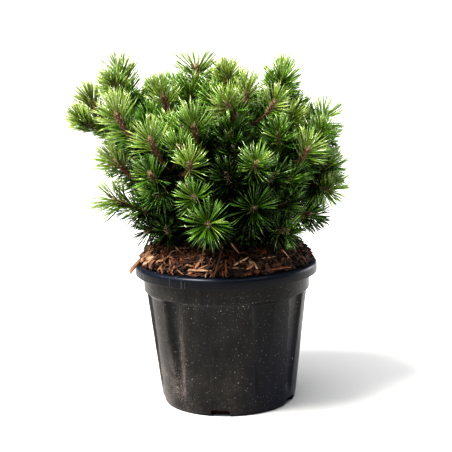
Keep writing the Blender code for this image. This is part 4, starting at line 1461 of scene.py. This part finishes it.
def makeBuds():
    rng = np.random.default_rng(buds["seed"])
    shape, tris = budShape()
    spots, ways, sizes = [], [], []
    for shoot in shoots:
        stem = Stem(shoot)
        tip, along = stem.path[-1], stem.slope(np.array([stem.length - 0.002]))[0]
        size, cluster = buds["kinds"][shoot["kind"]]
        phase = rng.uniform(0, math.tau)
        for number in range(cluster):
            lean = 0.0 if number == 0 else rng.uniform(*buds["lean"])
            out = turns(along[None], np.array([phase + math.tau * number / (cluster - 1)]))[0][:, 0]
            share = size * (1.0 if number == 0 else rng.uniform(*buds["outerSize"]))
            spots.append(tip - along * buds["sunk"] + out * lean * buds["sunk"])
            ways.append(along + out * lean)
            sizes.append((rng.uniform(*buds["width"]) * share, rng.uniform(*buds["length"]) * share))
    width, length = np.array(sizes).T
    axes = turns(np.array(ways), rng.uniform(0, math.tau, len(ways)))
    world = placed(shape, axes, np.stack((width, width, length), 1), np.array(spots))
    material, tree, shader = newMaterial("resinBud", buds["colours"][0], 0.5)
    coord = addNode(tree, "TexCoord", {}).outputs["Object"]
    share = ranged(tree, noiseOf(tree, coord, 700.0, 3.0, 0.6), 0.38, 0.58)
    tree.links.new(blended(tree, share, *buds["colours"]), shader.inputs["Base Color"])
    dressed(joinedMesh("buds", [(world, tris)]), "buds", material, massNodes, 60)


makeBuds()


studio = {
    "floorSize": 120.0,
    "floorColour": (0.68, 0.68, 0.683),
    "skyColour": (1.0, 1.0, 1.0),
    "skyStrength": 0.13,  # as light; the backdrop itself stays plain white
    "lights": {  # azimuth, elevation and spread in degrees, strength, colour
        "topLight": (-60, 74, 95, 3.0, (1.0, 1.0, 1.0)),
        "rimLight": (124, 5, 38, 1.4, (1.0, 1.0, 1.0)),
        "keyLight": (-62, 61, 20, 4.2, (1.0, 0.97, 0.92)),
    },
}


def makeLight(name, azimuth, elevation, spread, strength, colour):
    light = bpy.data.lights.new(name, "SUN")
    light.angle = math.radians(spread)
    light.energy = strength
    light.color = colour
    lamp = bpy.data.objects.new(name, light)
    lamp.location = heading(azimuth, elevation) * 3
    lamp.rotation_euler = (-lamp.location).to_track_quat("-Z", "Y").to_euler()
    bpy.context.scene.collection.objects.link(lamp)


def makeStudio():
    bm = bmesh.new()
    bmesh.ops.create_grid(bm, x_segments=1, y_segments=1, size=studio["floorSize"] / 2)
    floor = bpy.data.objects.new("floor", meshFrom(bm, "floor"))
    bpy.context.scene.collection.objects.link(floor)
    material, _, _ = newMaterial("paleFloor", studio["floorColour"], 0.7, Specular_IOR_Level=0.2)
    floor.data.materials.append(material)
    world = bpy.data.worlds.new("studioWhite")
    world.use_nodes = True
    tree = world.node_tree
    seen = addNode(tree, "LightPath", {}).outputs["Is Camera Ray"]
    strength = ranged(tree, seen, 0.0, 1.0, studio["skyStrength"], 1.0)
    tree.nodes["Background"].inputs["Color"].default_value = (*studio["skyColour"], 1.0)
    tree.links.new(strength, tree.nodes["Background"].inputs["Strength"])
    bpy.context.scene.world = world
    for name, facts in studio["lights"].items():
        makeLight(name, *facts)


view = {  # metres, radians and millimetres
    "height": 0.4648,
    "distance": 1.3998,
    "down": 0.1714,
    "roll": 0.0244,
    "pan": 0.0007,
    "lens": 89.527,
}


def makeCamera():
    level = Vector((math.sin(view["pan"]), math.cos(view["pan"]), 0))
    forward = level * math.cos(view["down"]) - zAxis * math.sin(view["down"])
    up = level * math.sin(view["down"]) + zAxis * math.cos(view["down"])
    right = forward.cross(up)
    c, s = math.cos(view["roll"]), math.sin(view["roll"])
    axes = Matrix((right * c - up * s, right * s + up * c, -forward)).transposed()
    camera = bpy.data.objects.new("camera", bpy.data.cameras.new("camera"))
    camera.data.lens = view["lens"]
    camera.data.sensor_width = 36.0
    camera.data.clip_end = 50.0
    camera.matrix_world = Matrix.Translation((0.0, -view["distance"], view["height"])) @ axes.to_4x4()
    bpy.context.scene.collection.objects.link(camera)
    bpy.context.scene.camera = camera


makeStudio()
makeCamera()
bpy.context.scene.view_settings.view_transform = "Standard"
bpy.context.scene.view_settings.look = "High Contrast"
print("studio ready")
